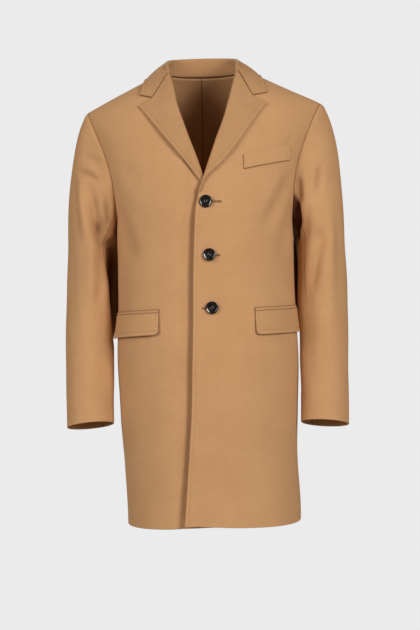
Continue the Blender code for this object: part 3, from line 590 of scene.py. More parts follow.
def meshPiece(name, points, faces, look, values, merge):
    mesh = bpy.data.meshes.new(name)
    mesh.from_pydata(points.tolist(), [], faces)
    for word, found in values.items():
        kept = mesh.attributes.new(word, "FLOAT", "POINT")
        kept.data.foreach_set("value", found.astype(np.float32))
    shape = bmesh.new()
    shape.from_mesh(mesh)
    if merge:
        bmesh.ops.remove_doubles(shape, verts=shape.verts, dist=mergeGap)
    bmesh.ops.recalc_face_normals(shape, faces=shape.faces)
    if shape.calc_volume(signed=True) < 0:  # thin curved cloth can come out facing inwards
        bmesh.ops.reverse_faces(shape, faces=shape.faces)
    shape.to_mesh(mesh)
    shape.free()
    mesh.shade_smooth()
    mesh.materials.append(look)
    piece = bpy.data.objects.new(name, mesh)
    bpy.context.scene.collection.objects.link(piece)
    return piece


def clothPiece(name, middle, away, thickness, edges, shade=0.0, under=1.0):
    # edges holds (kind, strength) for the first and last columns, then the first and last rows;
    # shade paints the face darker, which deepens the shadows in hollows and on turned-back cloth;
    # under widens the painted shadow line along edges that stand off
    middle = middle.copy()
    for (kind, _), line in zip(edges, edgeLines):
        if kind == "seam":
            pair = np.moveaxis(middle[line], np.argmin(middle[line].shape[:2]), 0)
            pair[0] += unit(pair[0] - pair[1]) * seamOverlap
    across = runLength(middle, 1)
    along = runLength(middle, 0)
    distances = [across, across[:, -1:] - across, along, along[-1:] - along]
    half = np.broadcast_to(thickness / 2, middle.shape[:2])
    wearAndHighlight = np.zeros(middle.shape[:2])
    # the painted shade starts from the given shade, and each edge adds a painted shade line below
    paintedShade = np.zeros(middle.shape[:2]) + shade
    for (kind, strength), distance in zip(edges, distances):
        if kind is None:
            continue
        inside = np.clip(1 - distance / edgeRound[kind], 0, 1)
        half = half * (1 - strength * (1 - np.sqrt(1 - inside**2)))
        if kind == "stitched":
            half = half - pressed(distance) * strength
        # free edges get worn nap, lightened further by a painted highlight where light catches the edge
        if kind != "seam":
            wearAndHighlight = np.maximum(wearAndHighlight, strength * np.exp(-distance / edgeWearAndHighlight))
        # every edge gets a painted shade line for the shadow in its groove, wider under edges that stand off
        wide = edgeShadeWidth[kind] * (1 if kind == "seam" else under)
        paintedShade = np.maximum(paintedShade, edgeShadeMost[kind] * strength * np.exp(-((distance / wide) ** 2)))
    top = middle + away * half[..., None]
    bottom = middle - away * half[..., None]
    rows, columns = half.shape
    count = rows * columns
    number = np.arange(count).reshape(rows, columns)
    corners = [number[:-1, :-1], number[:-1, 1:], number[1:, 1:], number[1:, :-1]]
    quads = np.stack(corners, -1).reshape(-1, 4)
    border = np.concatenate([number[0, :-1], number[:-1, -1], number[-1, :0:-1], number[:0:-1, 0]])
    after = np.roll(border, -1)
    rim = np.stack([after, border, border + count, after + count], -1)
    faces = np.concatenate([quads, quads[:, ::-1] + count, rim])
    points = np.concatenate([top.reshape(-1, 3), bottom.reshape(-1, 3)])
    values = {"wearAndHighlight": np.tile(wearAndHighlight.ravel(), 2), "paintedShade": np.tile(paintedShade.ravel(), 2)}
    piece = meshPiece(name, points, faces.tolist(), wool, values, True)
    return piece, {"middle": middle, "away": away, "half": half, "distances": distances}


def settle(piece, slotName, *nodes):
    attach(piece, "root")
    if nodes:
        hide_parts(*nodes)
    return piece


def declareCut(middle):
    # the flat size of the cut is read from the cloth itself, which hangs unstretched; it is only worked out
    # here, not kept
    width = runLength(middle, 1)[:, -1].max()
    length = runLength(middle, 0)[-1].max()
    facets = np.cross(middle[1:, 1:] - middle[:-1, :-1], middle[1:, :-1] - middle[:-1, 1:])
    area = np.linalg.norm(facets, axis=-1).sum() / 2
    width = max(width, area / length * 1.001)  # never less than the area needs


def sew(name, node, middle, away, thickness, edges, shade=0.0, under=1.0):
    piece, cloths[node] = clothPiece(name, middle, away, thickness, edges, shade, under)
    settle(piece, "camel_wool", node)
    declareCut(middle)


def lineAt(cloth, edge, distance, start=0.0, end=1.0):
    # line on the cloth's outer face at a distance from one edge:
    # 0 is the first column, 1 the last column, 2 the first row and 3 the last row
    gap = cloth["distances"][edge]
    face = cloth["middle"] + cloth["away"] * cloth["half"][..., None]
    both = np.concatenate([face, cloth["away"]], -1)
    if edge > 1:
        gap = gap.T
        both = np.moveaxis(both, 0, 1)
    found = []
    for far, values in zip(gap, both):
        order = np.argsort(far)
        found.append([np.interp(distance, far[order], column[order]) for column in values.T])
    points, normals = np.split(np.array(found), 2, axis=1)
    run = runLength(points, 0)
    kept = (run >= start * run[-1]) & (run <= end * run[-1])
    return points[kept], unit(normals[kept])


# materials

def hexColour(text):
    # sRGB hex to linear
    parts = [int(text[i:i + 2], 16) / 255 for i in (1, 3, 5)]
    return tuple(c / 12.92 if c <= 0.04045 else ((c + 0.055) / 1.055) ** 2.4 for c in parts) + (1.0,)


def newMaterial(name, roughness):
    made = bpy.data.materials.new(name)
    made.use_nodes = True
    shader = made.node_tree.nodes["Principled BSDF"]
    shader.inputs["Roughness"].default_value = roughness
    return made, shader


def addNode(made, kind, settings, links=()):
    # settings go to the node or to its inputs; links are (input, node, output)
    node = made.node_tree.nodes.new(kind)
    for key, value in settings.items():
        if isinstance(key, int) or key in node.inputs:
            node.inputs[key].default_value = value
        else:
            setattr(node, key, value)
    for key, source, output in links:
        made.node_tree.links.new(source.outputs[output], node.inputs[key])
    return node


woolLook = {
    "base": "#C69668",
    "light": "#D3A679",
    "dark": "#B48457",
    # worn edge nap, lightened further as a painted highlight
    "wornAndLit": "#D8AE82",
    # dark red-brown of the painted shade along edges and seams and in hollows
    "paintedShade": "#481B06",
    "halo": "#F0D2AE",
    "roughness": 0.92,
    "sheen": 0.22,
    "sheenRoughness": 0.55,
    "specular": 0.15,
    "bump": (0.25, 0.0006),
    "napInBump": 0.7,
    "napStretch": (0.5, 0.5, 1.0),
    "patterns": {
        # tufts of nap, drawn coarser than the real 0.2 mm so that they show
        "nap": {"mm": 0.9, "detail": 3.0, "roughness": 0.62, "between": (0.32, 0.68), "most": 0.12},
        # clouds of lighter and darker fleece
        "heather": {"mm": 6.0, "detail": 4.0, "roughness": 0.6, "between": (0.35, 0.65), "most": 0.24},
        # slow change over the piece
        "cloth": {"mm": 70.0, "detail": 2.0, "roughness": 0.5, "between": (0.35, 0.65), "most": 0.22},
    },
    "painted": {"wearAndHighlight": 0.14, "paintedShade": 0.95},  # worn edges lightened by a painted highlight; painted shade along edges, seams and in hollows
}


def makeWool():
    # milled wool melton: matt, with a short raised nap that hides the weave
    # and a soft halo at grazing angles
    made, shader = newMaterial("camelWoolMelton", woolLook["roughness"])
    place = addNode(made, "ShaderNodeTexCoord", {})
    stretched = addNode(made, "ShaderNodeMapping", {"Scale": woolLook["napStretch"]},
                        [("Vector", place, "Object")])
    noise = {}
    share = {}
    for word, row in woolLook["patterns"].items():
        source = (place, "Object") if word == "cloth" else (stretched, "Vector")
        settings = {"Scale": 1000 / row["mm"], "Detail": row["detail"], "Roughness": row["roughness"]}
        noise[word] = addNode(made, "ShaderNodeTexNoise", settings, [("Vector", *source)])
        low, high = row["between"]
        settings = {"From Min": low, "From Max": high, "To Min": 0.0, "To Max": row["most"]}
        share[word] = addNode(made, "ShaderNodeMapRange", settings, [("Value", noise[word], "Fac")])
    for word, most in woolLook["painted"].items():
        held = addNode(made, "ShaderNodeAttribute", {"attribute_name": word})
        share[word] = addNode(made, "ShaderNodeMath", {"operation": "MULTIPLY", 1: most}, [(0, held, "Fac")])
    mixed = None
    # layers: random tone of the fleece, then worn edges with a painted highlight, then painted shade
    layers = {"heather": "light", "cloth": "dark", "nap": "dark", "wearAndHighlight": "wornAndLit", "paintedShade": "paintedShade"}
    for word, colour in layers.items():
        settings = {"data_type": "RGBA", 6: hexColour(woolLook["base"]), 7: hexColour(woolLook[colour])}
        below = [(6, mixed, 2)] if mixed else []
        mixed = addNode(made, "ShaderNodeMix", settings, [(0, share[word], 0)] + below)
    height = addNode(made, "ShaderNodeMath", {"operation": "MULTIPLY_ADD", 1: woolLook["napInBump"]},
                     [(0, noise["nap"], "Fac"), (2, noise["heather"], "Fac")])
    strength, distance = woolLook["bump"]
    bump = addNode(made, "ShaderNodeBump", {"Strength": strength, "Distance": distance},
                   [("Height", height, 0)])
    made.node_tree.links.new(mixed.outputs[2], shader.inputs["Base Color"])
    made.node_tree.links.new(bump.outputs["Normal"], shader.inputs["Normal"])
    shader.inputs["Sheen Weight"].default_value = woolLook["sheen"]
    shader.inputs["Sheen Roughness"].default_value = woolLook["sheenRoughness"]
    shader.inputs["Sheen Tint"].default_value = hexColour(woolLook["halo"])
    shader.inputs["Specular IOR Level"].default_value = woolLook["specular"]
    return made


threadLook = {
    "edge": "#C08C5C",
    "hole": "#8A5B37",
    # button thread drawn light grey: a painted highlight for the glints on the dark thread
    "button": "#918A85",
    "roughness": 0.6,
    "darkPly": 0.72,
    "twistMm": 0.5,
}


def makeThread(name, colour):
    # twisted sewing silk: fine flecks of lighter and darker plies
    made, shader = newMaterial(name, threadLook["roughness"])
    place = addNode(made, "ShaderNodeTexCoord", {})
    ply = addNode(made, "ShaderNodeTexNoise", {"Scale": 1000 / threadLook["twistMm"], "Detail": 1.0},
                  [("Vector", place, "Object")])
    first = hexColour(colour)
    second = tuple(c * threadLook["darkPly"] for c in first[:3]) + (1.0,)
    mixed = addNode(made, "ShaderNodeMix", {"data_type": "RGBA", 6: first, 7: second}, [(0, ply, "Fac")])
    made.node_tree.links.new(mixed.outputs[2], shader.inputs["Base Color"])
    return made


hornLook = {
    "dark": "#0F0C0C",
    "streak": "#2C2421",
    "roughness": 0.2,
    "coatRoughness": 0.16,
    "streakMm": 3.5,
    "streakDetail": 5.0,
    "streakDistortion": 0.6,
    "streakScale": (1.0, 1.0, 0.3),
    "streakTurn": (0.2, 0.5, 0.4),
    "streakBetween": (0.48, 0.72),
    "streakMost": 0.8,
}


def makeHorn():
    # polished dark horn: near black with faint brown streaks under a clear gloss
    made, shader = newMaterial("polishedDarkHorn", hornLook["roughness"])
    place = addNode(made, "ShaderNodeTexCoord", {})
    settings = {"Scale": hornLook["streakScale"], "Rotation": hornLook["streakTurn"]}
    drawn = addNode(made, "ShaderNodeMapping", settings, [("Vector", place, "Object")])
    settings = {"Scale": 1000 / hornLook["streakMm"], "Detail": hornLook["streakDetail"],
                "Distortion": hornLook["streakDistortion"]}
    streak = addNode(made, "ShaderNodeTexNoise", settings, [("Vector", drawn, "Vector")])
    low, high = hornLook["streakBetween"]
    settings = {"From Min": low, "From Max": high, "To Min": 0.0, "To Max": hornLook["streakMost"]}
    share = addNode(made, "ShaderNodeMapRange", settings, [("Value", streak, "Fac")])
    settings = {"data_type": "RGBA", 6: hexColour(hornLook["dark"]), 7: hexColour(hornLook["streak"])}
    mixed = addNode(made, "ShaderNodeMix", settings, [(0, share, "Result")])
    made.node_tree.links.new(mixed.outputs[2], shader.inputs["Base Color"])
    shader.inputs["Coat Weight"].default_value = 1.0
    shader.inputs["Coat Roughness"].default_value = hornLook["coatRoughness"]
    return made


wool = makeWool()
edgeThread = makeThread("camelSewingSilk", threadLook["edge"])
holeThread = makeThread("brownButtonholeTwist", threadLook["hole"])
buttonThread = makeThread("paintedGlintButtonThread", threadLook["button"])
horn = makeHorn()
print("materials ready")


# fronts and backs

panelCut = {
    "frontThickness": 0.0026,
    "backThickness": 0.0022,
    "lowRows": 92,
    "armholeRows": 52,
    "shoulderRows": 22,
    "frontColumns": 62,
    "backColumns": 54,
    "fineColumns": 140,
    "shoulderRowInner": -0.105,
    "hemFadeHeight": 0.16,
    "hemRiseTo": 0.8,
    "edgeRise": 0.003,
    "edgeRiseTo": 0.4,
    "seamSquare": 0.012,  # width over which the back turns square to its centre seam
    "stitchBelow": 0.004,
    "stitchFade": 0.03,
}
panelShade = {  # painted tone that deepens the shadows in hollows
    "side": {"most": 0.07, "angle": -32, "over": 26, "fade": 0.05},  # at the sides, behind the sleeves
    "armhole": {"most": 0.2, "height": -0.198, "reach": 0.026},  # in the dip before the left armhole
    "lap": {"most": 0.1, "top": -0.225, "reach": 0.007},  # on the right front, along the left one's edge
    "lapBreak": {"most": 0.3, "height": -0.262, "reach": 0.022},
    "lapSkirt": {"most": 0.16, "from": -0.62, "length": 0.28},
}


def panelGrid(side, face):
    sign = 1 if face == "front" else -1
    hem = bodyCut["hem"]
    hemSteps = np.array(edgeSteps["fold"])
    low = np.linspace(hem + hemSteps[-1], bodyCut["underarm"], panelCut["lowRows"])[1:]
    low = np.concatenate([hem + hemSteps, low])
    turns = np.linspace(180, 0, panelCut["armholeRows"] + 1)[1:]
    holeAngle, holeHeight = armholeAngle(side, turns * sign)
    up = (holeHeight - bodyCut["underarm"]) / (holeHeight[-1] - bodyCut["underarm"])
    seam = np.linspace(0, 1, panelCut["shoulderRows"] + 1)[1:]
    neckline = bodyCut["neckline"]
    innerTop = panelCut["shoulderRowInner"]
    outerAngle = np.concatenate([np.zeros(len(low)), holeAngle, np.zeros(len(seam))])
    outerHeight = np.concatenate([low, holeHeight, between(holeHeight[-1], neckline, seam)])
    innerHeight = np.concatenate([low, between(bodyCut["underarm"], innerTop, up),
                                  between(innerTop, neckline, seam)])
    if face == "front":
        innerAngle = frontAngle(side, edgeOut[side](innerHeight), innerHeight)
    else:
        innerAngle = np.full(len(innerHeight), 90.0)

    def rows(share):
        angle = between(innerAngle[:, None], outerAngle[:, None], share)
        return angle, between(innerHeight[:, None], outerHeight[:, None], 1 - (1 - share) ** 2)

    fineShare = np.linspace(0, 1, panelCut["fineColumns"])
    fine = bodyForm(side, *rows(fineShare))
    kind = "stitched" if face == "front" else "seam"
    count = panelCut["frontColumns"] if face == "front" else panelCut["backColumns"]
    share = spacedShares(fine, fineShare, kind, "seam", count)
    angle, height = rows(share)
    if face == "front":
        nearHem = ease(1 - (height - hem) / panelCut["hemFadeHeight"])
        height = height + bodyCut["hemRise"] * nearHem * (1 - ease(share / panelCut["hemRiseTo"]))
        if side == left:
            height = height + panelCut["edgeRise"] * nearHem * (1 - ease(share / panelCut["edgeRiseTo"]))
    return angle, height, innerHeight


def bell(height, row):
    return row["most"] * np.exp(-(((height - row["height"]) / row["reach"]) ** 2))


def frontShade(side, outer, angle, height):
    row = panelShade["side"]
    shade = row["most"] * ease((angle - row["angle"]) / row["over"])
    shade = shade * ease((bodyCut["underarm"] - height) / row["fade"])
    if side == left:
        return shade + bell(height, panelShade["armhole"]) * (1 - awayFromArmhole(side, outer))
    lap = panelShade["lap"]
    skirt = panelShade["lapSkirt"]
    grown = lap["most"] + bell(height, panelShade["lapBreak"])
    grown = grown + skirt["most"] * ease((skirt["from"] - height) / skirt["length"])
    beside = ownOut(side, outer) + edgeOut[left](height)
    return shade + np.where(height < lap["top"], grown * np.exp(-((beside / lap["reach"]) ** 2)), 0)


def makePanel(side, face):
    angle, height, innerHeight = panelGrid(side, face)
    outer, away = bodySkin(side, angle, height)
    thickness = panelCut[f"{face}Thickness"]
    shade = 0.0
    firstEdge = ("seam", 1.0)
    if face == "front":
        shade = frontShade(side, outer, angle, height)
        below = lapelCut["rollBottom"] - panelCut["stitchBelow"] - innerHeight
        firstEdge = ("stitched", ease(below / panelCut["stitchFade"])[:, None])
    else:  # square to the centre back seam
        away[..., 0] *= ease(np.abs(ownOut(side, outer)) / panelCut["seamSquare"])
        away = unit(away)
    middle = outer - away * thickness / 2
    sew(f"{face}Panel_{sideWord[side]}", f"{face}_{sideWord[side]}", middle, away, thickness,
        [firstEdge, ("seam", 1.0), ("fold", 1.0), (None, 0)], shade=shade)


# lapels

lapelCut = {
    "rollBottom": -0.27,
    "gorgeAtRoll": -0.015,
    "rollRadius": 0.0032,
    "breakRadius": 0.0021,
    "rollSpread": 0.05,
    "tuck": 0.0004,
    "growth": 0.055,  # the share of its length over which the lapel grows out of the front edge
    "atStart": {"radius": 0.35, "width": 0.15, "thickness": 0.3},  # shares that it starts from
    "standOff": {left: 0.0032, right: 0.0046},
    "edge": {
        "height": [-0.282, -0.272, -0.262, -0.252, -0.243, -0.234, -0.224, -0.215, -0.197, -0.177, -0.149,
                   -0.119, -0.09, -0.08],
        "left": [-0.015, -0.0122, -0.0086, -0.0048, -0.0012, 0.004, 0.0118, 0.0227, 0.0405, 0.0585, 0.0785,
                 0.1003, 0.1218, 0.1292],
        "right": [-0.015, -0.0105, -0.0046, -0.0003, 0.0037, 0.0085, 0.016, 0.0228, 0.0368, 0.0525, 0.0745,
                  0.0975, 0.1196, 0.1272],
    },
    "edgeBottom": -0.268,
    "tip": {left: (0.1297, -0.0824), right: (0.1262, -0.0812)},
    "notch": {left: (0.1012, -0.0662), right: (0.098, -0.0652)},
    "notchShare": 0.68,
    "collarTip": {left: (0.1305, -0.0582), right: (0.123, -0.0575)},
    "collarNotchShare": 0.777,
    "gorgeAcross": (0.55, 0.84),
    "gorgeGap": 0.00005,
    "lying": 0.0006,
    "tipLift": 0.0004,
    "thickness": 0.003,
    "shade": 0.16,
    # how much wider the painted shadow line along each lapel's outer edge is
    "under": {left: 1.0, right: 2.2},
    "breakRows": 16,
    "breakShare": 0.12,
    "rows": 88,
    "gorgeRows": [0.985, 0.992, 0.996, 0.9985, 1.0],
    "columns": 46,
    "rollFull": 0.3,  # share of the length at which the roll is full
    "gorgeFrom": 0.6,  # from here the leaf turns to follow the gorge
    "tipFrom": 0.9,  # from here its edge bends to the tip
    "standBetween": (0.04, 0.94),  # and it stands off between these
    "insideLeast": 0.25,
    "stitchFull": 0.14,
    "stitchLeast": 0.35,
}
lapelOut = {side: readTable(lapelCut["edge"], sideWord[side]) for side in (left, right)}


def gorgePath(side, share, start, end, atNotch):
    before = np.clip(share / atNotch, 0, 1)[..., None]
    after = np.clip((share - atNotch) / (1 - atNotch), 0, 1)[..., None]
    notch = np.array(lapelCut["notch"][side])
    return np.array(start) + before * (notch - np.array(start)) + after * (np.array(end) - notch)


def rollFrame(side, height):
    # the line that a front rolls over on, with its outward and inward directions
    out = edgeOut[side](height)
    base, away = frontSkin(side, out, height, -panelCut["frontThickness"] / 2)
    along = unit(np.gradient(base, axis=0))
    up = unit(np.cross(away, along)) * side
    up = up * np.sign(-side * up[:, :1])
    return base, away, up, along


def makeLapel(side):
    cut = lapelCut
    low = np.linspace(0, cut["breakShare"], cut["breakRows"])[:-1]
    rows = np.concatenate([low, np.linspace(cut["breakShare"], cut["gorgeRows"][0], cut["rows"]),
                           cut["gorgeRows"][1:]])
    rollHeight = between(cut["rollBottom"], cut["gorgeAtRoll"], rows)
    base, away, up, _ = rollFrame(side, rollHeight)
    base = base - up * cut["tuck"]
    size = {word: between(least, 1, ease(rows / cut["growth"])) for word, least in cut["atStart"].items()}
    radius = between(cut["breakRadius"], cut["rollRadius"], ease(rows / cut["rollFull"])) * size["radius"]
    tip = cut["tip"][side]
    edgeHeight = between(cut["edgeBottom"], tip[1], rows)
    start = np.stack([edgeOut[side](rollHeight), rollHeight], -1)
    end = np.stack([lapelOut[side](edgeHeight), edgeHeight], -1)
    toTip = ease((rows - cut["tipFrom"]) / (1 - cut["tipFrom"]))[:, None]
    end = end + (np.array(tip) - end[-1]) * toTip
    turn = math.pi * radius
    total = turn + np.linalg.norm(end - start, axis=-1)
    shown = total * size["width"]

    # distances along the cloth from the roll to the edge, with lines for the stitching
    near = np.array(edgeSteps["stitched"])[::-1]
    spread = np.linspace(0, 1, cut["columns"])[:-1]
    room = np.maximum(shown - near[0], shown * cut["insideLeast"])
    inside = room[:, None] * spread
    last = shown[:, None] - near * ((shown - room) / near[0])[:, None]
    reach = np.concatenate([inside, last], axis=1)

    bent = np.clip(reach / radius[:, None], 0, math.pi)
    arc = base[:, None] + (radius[:, None] * np.sin(bent))[..., None] * up[:, None]
    arc = arc + (radius[:, None] * (1 - np.cos(bent)))[..., None] * away[:, None]
    leafShare = np.clip((reach - turn[:, None]) / (total - turn)[:, None], 0, 1)
    flat = between(start[:, None], end[:, None], leafShare[..., None])
    gorge = gorgePath(side, leafShare, start[-1], tip, cut["notchShare"])
    straight = between(start[-1], end[-1], leafShare[..., None])
    follow = ease((rows - cut["gorgeFrom"]) / (1 - cut["gorgeFrom"])) ** 2
    flat = flat + (gorge - straight) * follow[:, None, None]
    flat = flat - unit(np.array(cut["gorgeAcross"])) * (cut["gorgeGap"] / 2) * (rows == 1.0)[:, None, None]
    gone = np.maximum(reach - turn[:, None], 0)
    firstLift = (2 * radius - panelCut["frontThickness"] / 2)[:, None]
    first, last = cut["standBetween"]
    stand = cut["standOff"][side] * np.sin(math.pi * np.clip((rows - first) / (last - first), 0, 1))
    lastLift = (cut["lying"] + cut["thickness"] / 2 + cut["tipLift"] * rows + stand)[:, None]
    falling = 0.5 * (1 + np.cos(np.pi * np.clip(gone / cut["rollSpread"], 0, 1)))
    leaf, _ = frontSkin(side, flat[..., 0], flat[..., 1], between(lastLift, firstLift, falling))
    middle = np.where((reach > turn[:, None])[..., None], leaf, arc)
    normals = gridNormals(middle, np.array([0, -1.0, 0]))
    stitched = np.maximum(ease(rows / cut["stitchFull"])[:, None], cut["stitchLeast"])
    sew(f"lapel_{sideWord[side]}_leaf", f"lapel_{sideWord[side]}", middle, normals,
        cut["thickness"] * size["thickness"][:, None],
        [(None, 0), ("stitched", stitched), ("fold", 1.0), ("seam", 1.0)],
        cut["shade"], cut["under"][side])


# collar: stand and fall, from the gorge on one side to the gorge on the other

collarCut = {
    "stations": {
        "share": [0.00, 0.12, 0.26, 0.42, 0.6, 0.8, 1.00],
        "outLeft": [0.0715, 0.0725, 0.0728, 0.0705, 0.059, 0.033, 0.0000],
        "outRight": [0.065, 0.067, 0.0668, 0.0642, 0.0545, 0.031, 0.0000],
        "back": [-0.055, -0.036, -0.014, 0.014, 0.042, 0.061, 0.067],
        "height": [-0.015, 0.0015, 0.012, 0.0208, 0.0283, 0.0333, 0.035],
    },
    "crossingShare": 0.31,  # where the outer edge passes over the shoulder line
    "crossingMost": 0.97,
    "crossingOut": {left: 0.1205, right: 0.114},
    "edge": {
        "share": [0.31, 0.42, 0.6, 0.8, 1.00],
        "angle": [0.0, 12.0, 36.0, 62.0, 90.0],
        "height": [-0.0165, -0.0168, -0.017, -0.0185, -0.02],
    },
    "gorgeSteps": [0, 0.0015, 0.004, 0.008, 0.016],
    "steps": 90,
    "riseSteps": 7,
    "foldSteps": 14,
    "leafSteps": 30,
    "roll": 0.0036,
    "bulge": 0.0025,
    "seat": 0.0004,
    "lean": 0.004,
    "rollBelow": 0.01,
    "shade": 0.14,
    "neckShare": 0.1,
    # shares from the gorge over which the lapel's form becomes the collar's own
    "fade": {"line": 0.25, "upright": 0.3, "seat": 0.15, "roll": 0.4, "gorge": 0.34, "resting": 0.3},
    "formLeast": 0.02,
    "pushes": 3,
}


def clearOfForm(side, points, lift):
    for _ in range(collarCut["pushes"]):
        angle = np.degrees(np.arctan2(points[..., 1], side * points[..., 0]))
        near = bodyForm(side, angle, points[..., 2])
        away = bodyNormal(side, angle, points[..., 2])
        gap = np.sum((points - near) * away, -1)
        onForm = np.hypot(near[..., 0], near[..., 1]) > collarCut["formLeast"]
        push = np.where(onForm, np.maximum(lift - gap, 0), 0)
        points = points + away * push[..., None]
    return points


def collarEdge(side, share):
    # straight from the tip to the shoulder line, then round the back of the neck
    cut = collarCut
    tipOut, tipHeight = lapelCut["collarTip"][side]
    crossing = cut["crossingOut"][side]
    along = np.clip(share / cut["crossingShare"], 0, cut["crossingMost"])
    out = between(tipOut, crossing, along)
    height = between(tipHeight, ridgeHeight(side, crossing), along)
    front = share < cut["crossingShare"]
    angle = np.where(front, frontAngle(side, out, height), readTable(cut["edge"], "angle")(share))
    return bodyForm(side, angle, np.where(front, height, readTable(cut["edge"], "height")(share)))


def collarSide(side):
    cut = collarCut
    steps = cut["gorgeSteps"]
    share = np.concatenate([steps[:-1], np.linspace(steps[-1], 1, cut["steps"])])
    own = {word: ease(share / until)[:, None] for word, until in cut["fade"].items()}
    read = {name: readTable(cut["stations"], name)(share) for name in list(cut["stations"])[1:]}
    gorge = lapelCut["gorgeAtRoll"]
    neckline = bodyCut["neckline"]
    startAngle = float(frontAngle(side, edgeOut[side](neckline), neckline))
    ringShare = np.clip((share - cut["neckShare"]) / (1 - cut["neckShare"]), 0, 1)
    onRoll = share < cut["neckShare"]
    height = np.where(onRoll, gorge * (1 - share / cut["neckShare"]), neckline)
    angle = between(startAngle, 90, ringShare)
    angle = np.where(onRoll, frontAngle(side, edgeOut[side](height), height), angle)
    base = bodyForm(side, angle, height) - bodyNormal(side, angle, height) * panelCut["frontThickness"] / 2
    rollBase, _, rollUp, rollAlong = rollFrame(side, np.linspace(gorge - cut["rollBelow"], gorge, 3))
    out = side * read["outLeft" if side == left else "outRight"]
    line = np.stack([out, read["back"], read["height"]], -1)
    line = line + (rollBase[-1] - line[0]) * (1 - own["line"])
    along = unit(np.gradient(line, axis=0))
    along[0] = rollAlong[-1]
    along[-1] = np.array([-side, 0, 0])
    upright = unit(line - base + np.array([0, 0, cut["lean"]]))
    up = unit(rollUp[-1] * (1 - own["upright"]) + upright * own["upright"])
    up = unit(up - along * np.sum(up * along, -1, keepdims=True))
    out = unit(np.cross(along, up)) * side
    seat = cut["seat"] * own["seat"]
    base = base + up * seat
    line = line + up * seat
    rise = between(base[:, None], line[:, None], np.linspace(0, 1, cut["riseSteps"] + 1)[:-1, None])
    radius = between(lapelCut["rollRadius"], cut["roll"], own["roll"])
    bent = np.linspace(0, math.pi, cut["foldSteps"])
    turn = line[:, None] + (radius * np.sin(bent))[..., None] * up[:, None]
    turn = turn + (radius * (1 - np.cos(bent)))[..., None] * out[:, None]

    # the fall, from the fold to the edge, with lines for the stitching
    edge = collarEdge(side, share)
    hang = turn[:, -1:]
    length = np.linalg.norm(edge - hang[:, 0], axis=-1)
    near = np.array(edgeSteps["stitched"])[::-1]
    spread = np.linspace(0, 1, cut["leafSteps"] + 1)[1:-1]
    inside = (1 - near[0] / length)[:, None] * spread
    across = np.concatenate([inside, 1 - near / length[:, None]], axis=1)
    leaf = between(hang, edge[:, None], across[..., None])
    leaf = leaf + out[:, None] * (cut["bulge"] * 4 * across * (1 - across))[..., None]

    # near the gorge it lies on the front, beside the lapel
    flat = np.stack([side * leaf[..., 0], leaf[..., 2]], -1)
    start = np.array([edgeOut[side](gorge), gorge])
    tip = np.array(lapelCut["collarTip"][side])
    onGorge = gorgePath(side, across[0], start, tip, lapelCut["collarNotchShare"])
    straight = between(start, tip, across[0][:, None])
    flat = flat + (onGorge - straight) * ((1 - own["gorge"]) ** 2)[..., None]
    flat[0] = onGorge
    gap = unit(np.array(lapelCut["gorgeAcross"])) * (lapelCut["gorgeGap"] / 2)
    flat = flat + gap * (share == 0)[:, None, None]
    reach = np.linalg.norm(leaf - hang, axis=-1)
    lastLift = lapelCut["lying"] + lapelCut["thickness"] / 2 + lapelCut["tipLift"]
    firstLift = 2 * radius - panelCut["frontThickness"] / 2
    falling = 0.5 * (1 + np.cos(np.pi * np.clip(reach / lapelCut["rollSpread"], 0, 1)))
    lift = between(lastLift, firstLift, falling)
    belowRidge = np.minimum(flat[..., 1], ridgeHeight(side, flat[..., 0]) - lapelCut["thickness"])
    resting, _ = frontSkin(side, flat[..., 0], belowRidge, lift)
    leaf = between(leaf, resting, (1 - own["resting"])[..., None])
    leaf = clearOfForm(side, leaf, lastLift)
    return np.concatenate([rise, turn, leaf], axis=1)


def makeCollar():
    sides = {side: collarSide(side) for side in (left, right)}
    middleBack = (sides[left][-1] + sides[right][-1]) / 2
    middleBack[:, 0] = 0
    middle = np.concatenate([sides[right][:-1], middleBack[None], sides[left][-2::-1]])
    found = unit(np.cross(np.gradient(middle, axis=0), np.gradient(middle, axis=1)))
    outward = middle[:, -1] * np.array([1, 1, 0])
    found = found * np.sign(np.sum(found[:, -1] * outward))
    sew("collar_fall", "collar", middle, found, lapelCut["thickness"],
        [("seam", 1.0), ("stitched", 1.0), ("seam", 1.0), ("seam", 1.0)],
        collarCut["shade"])


for side in (left, right):
    makePanel(side, "front")
    makePanel(side, "back")
    makeLapel(side)
makeCollar()
print("fronts, backs, lapels and collar made")


# sleeves

sleevePiece = {
    "thickness": 0.0022,
    "turnStep": 3.2,
    "fineColumns": 120,
    "seamRows": [0, 0.003, 0.008, 0.015, 0.03],
    "capRows": 46,
    "armRows": 88,
    "foreSeamTo": 1.2,  # below this row the fore seam is pressed flat
    "foreSeamFade": 0.2,
    "foreSeamFlat": 0.9,
}


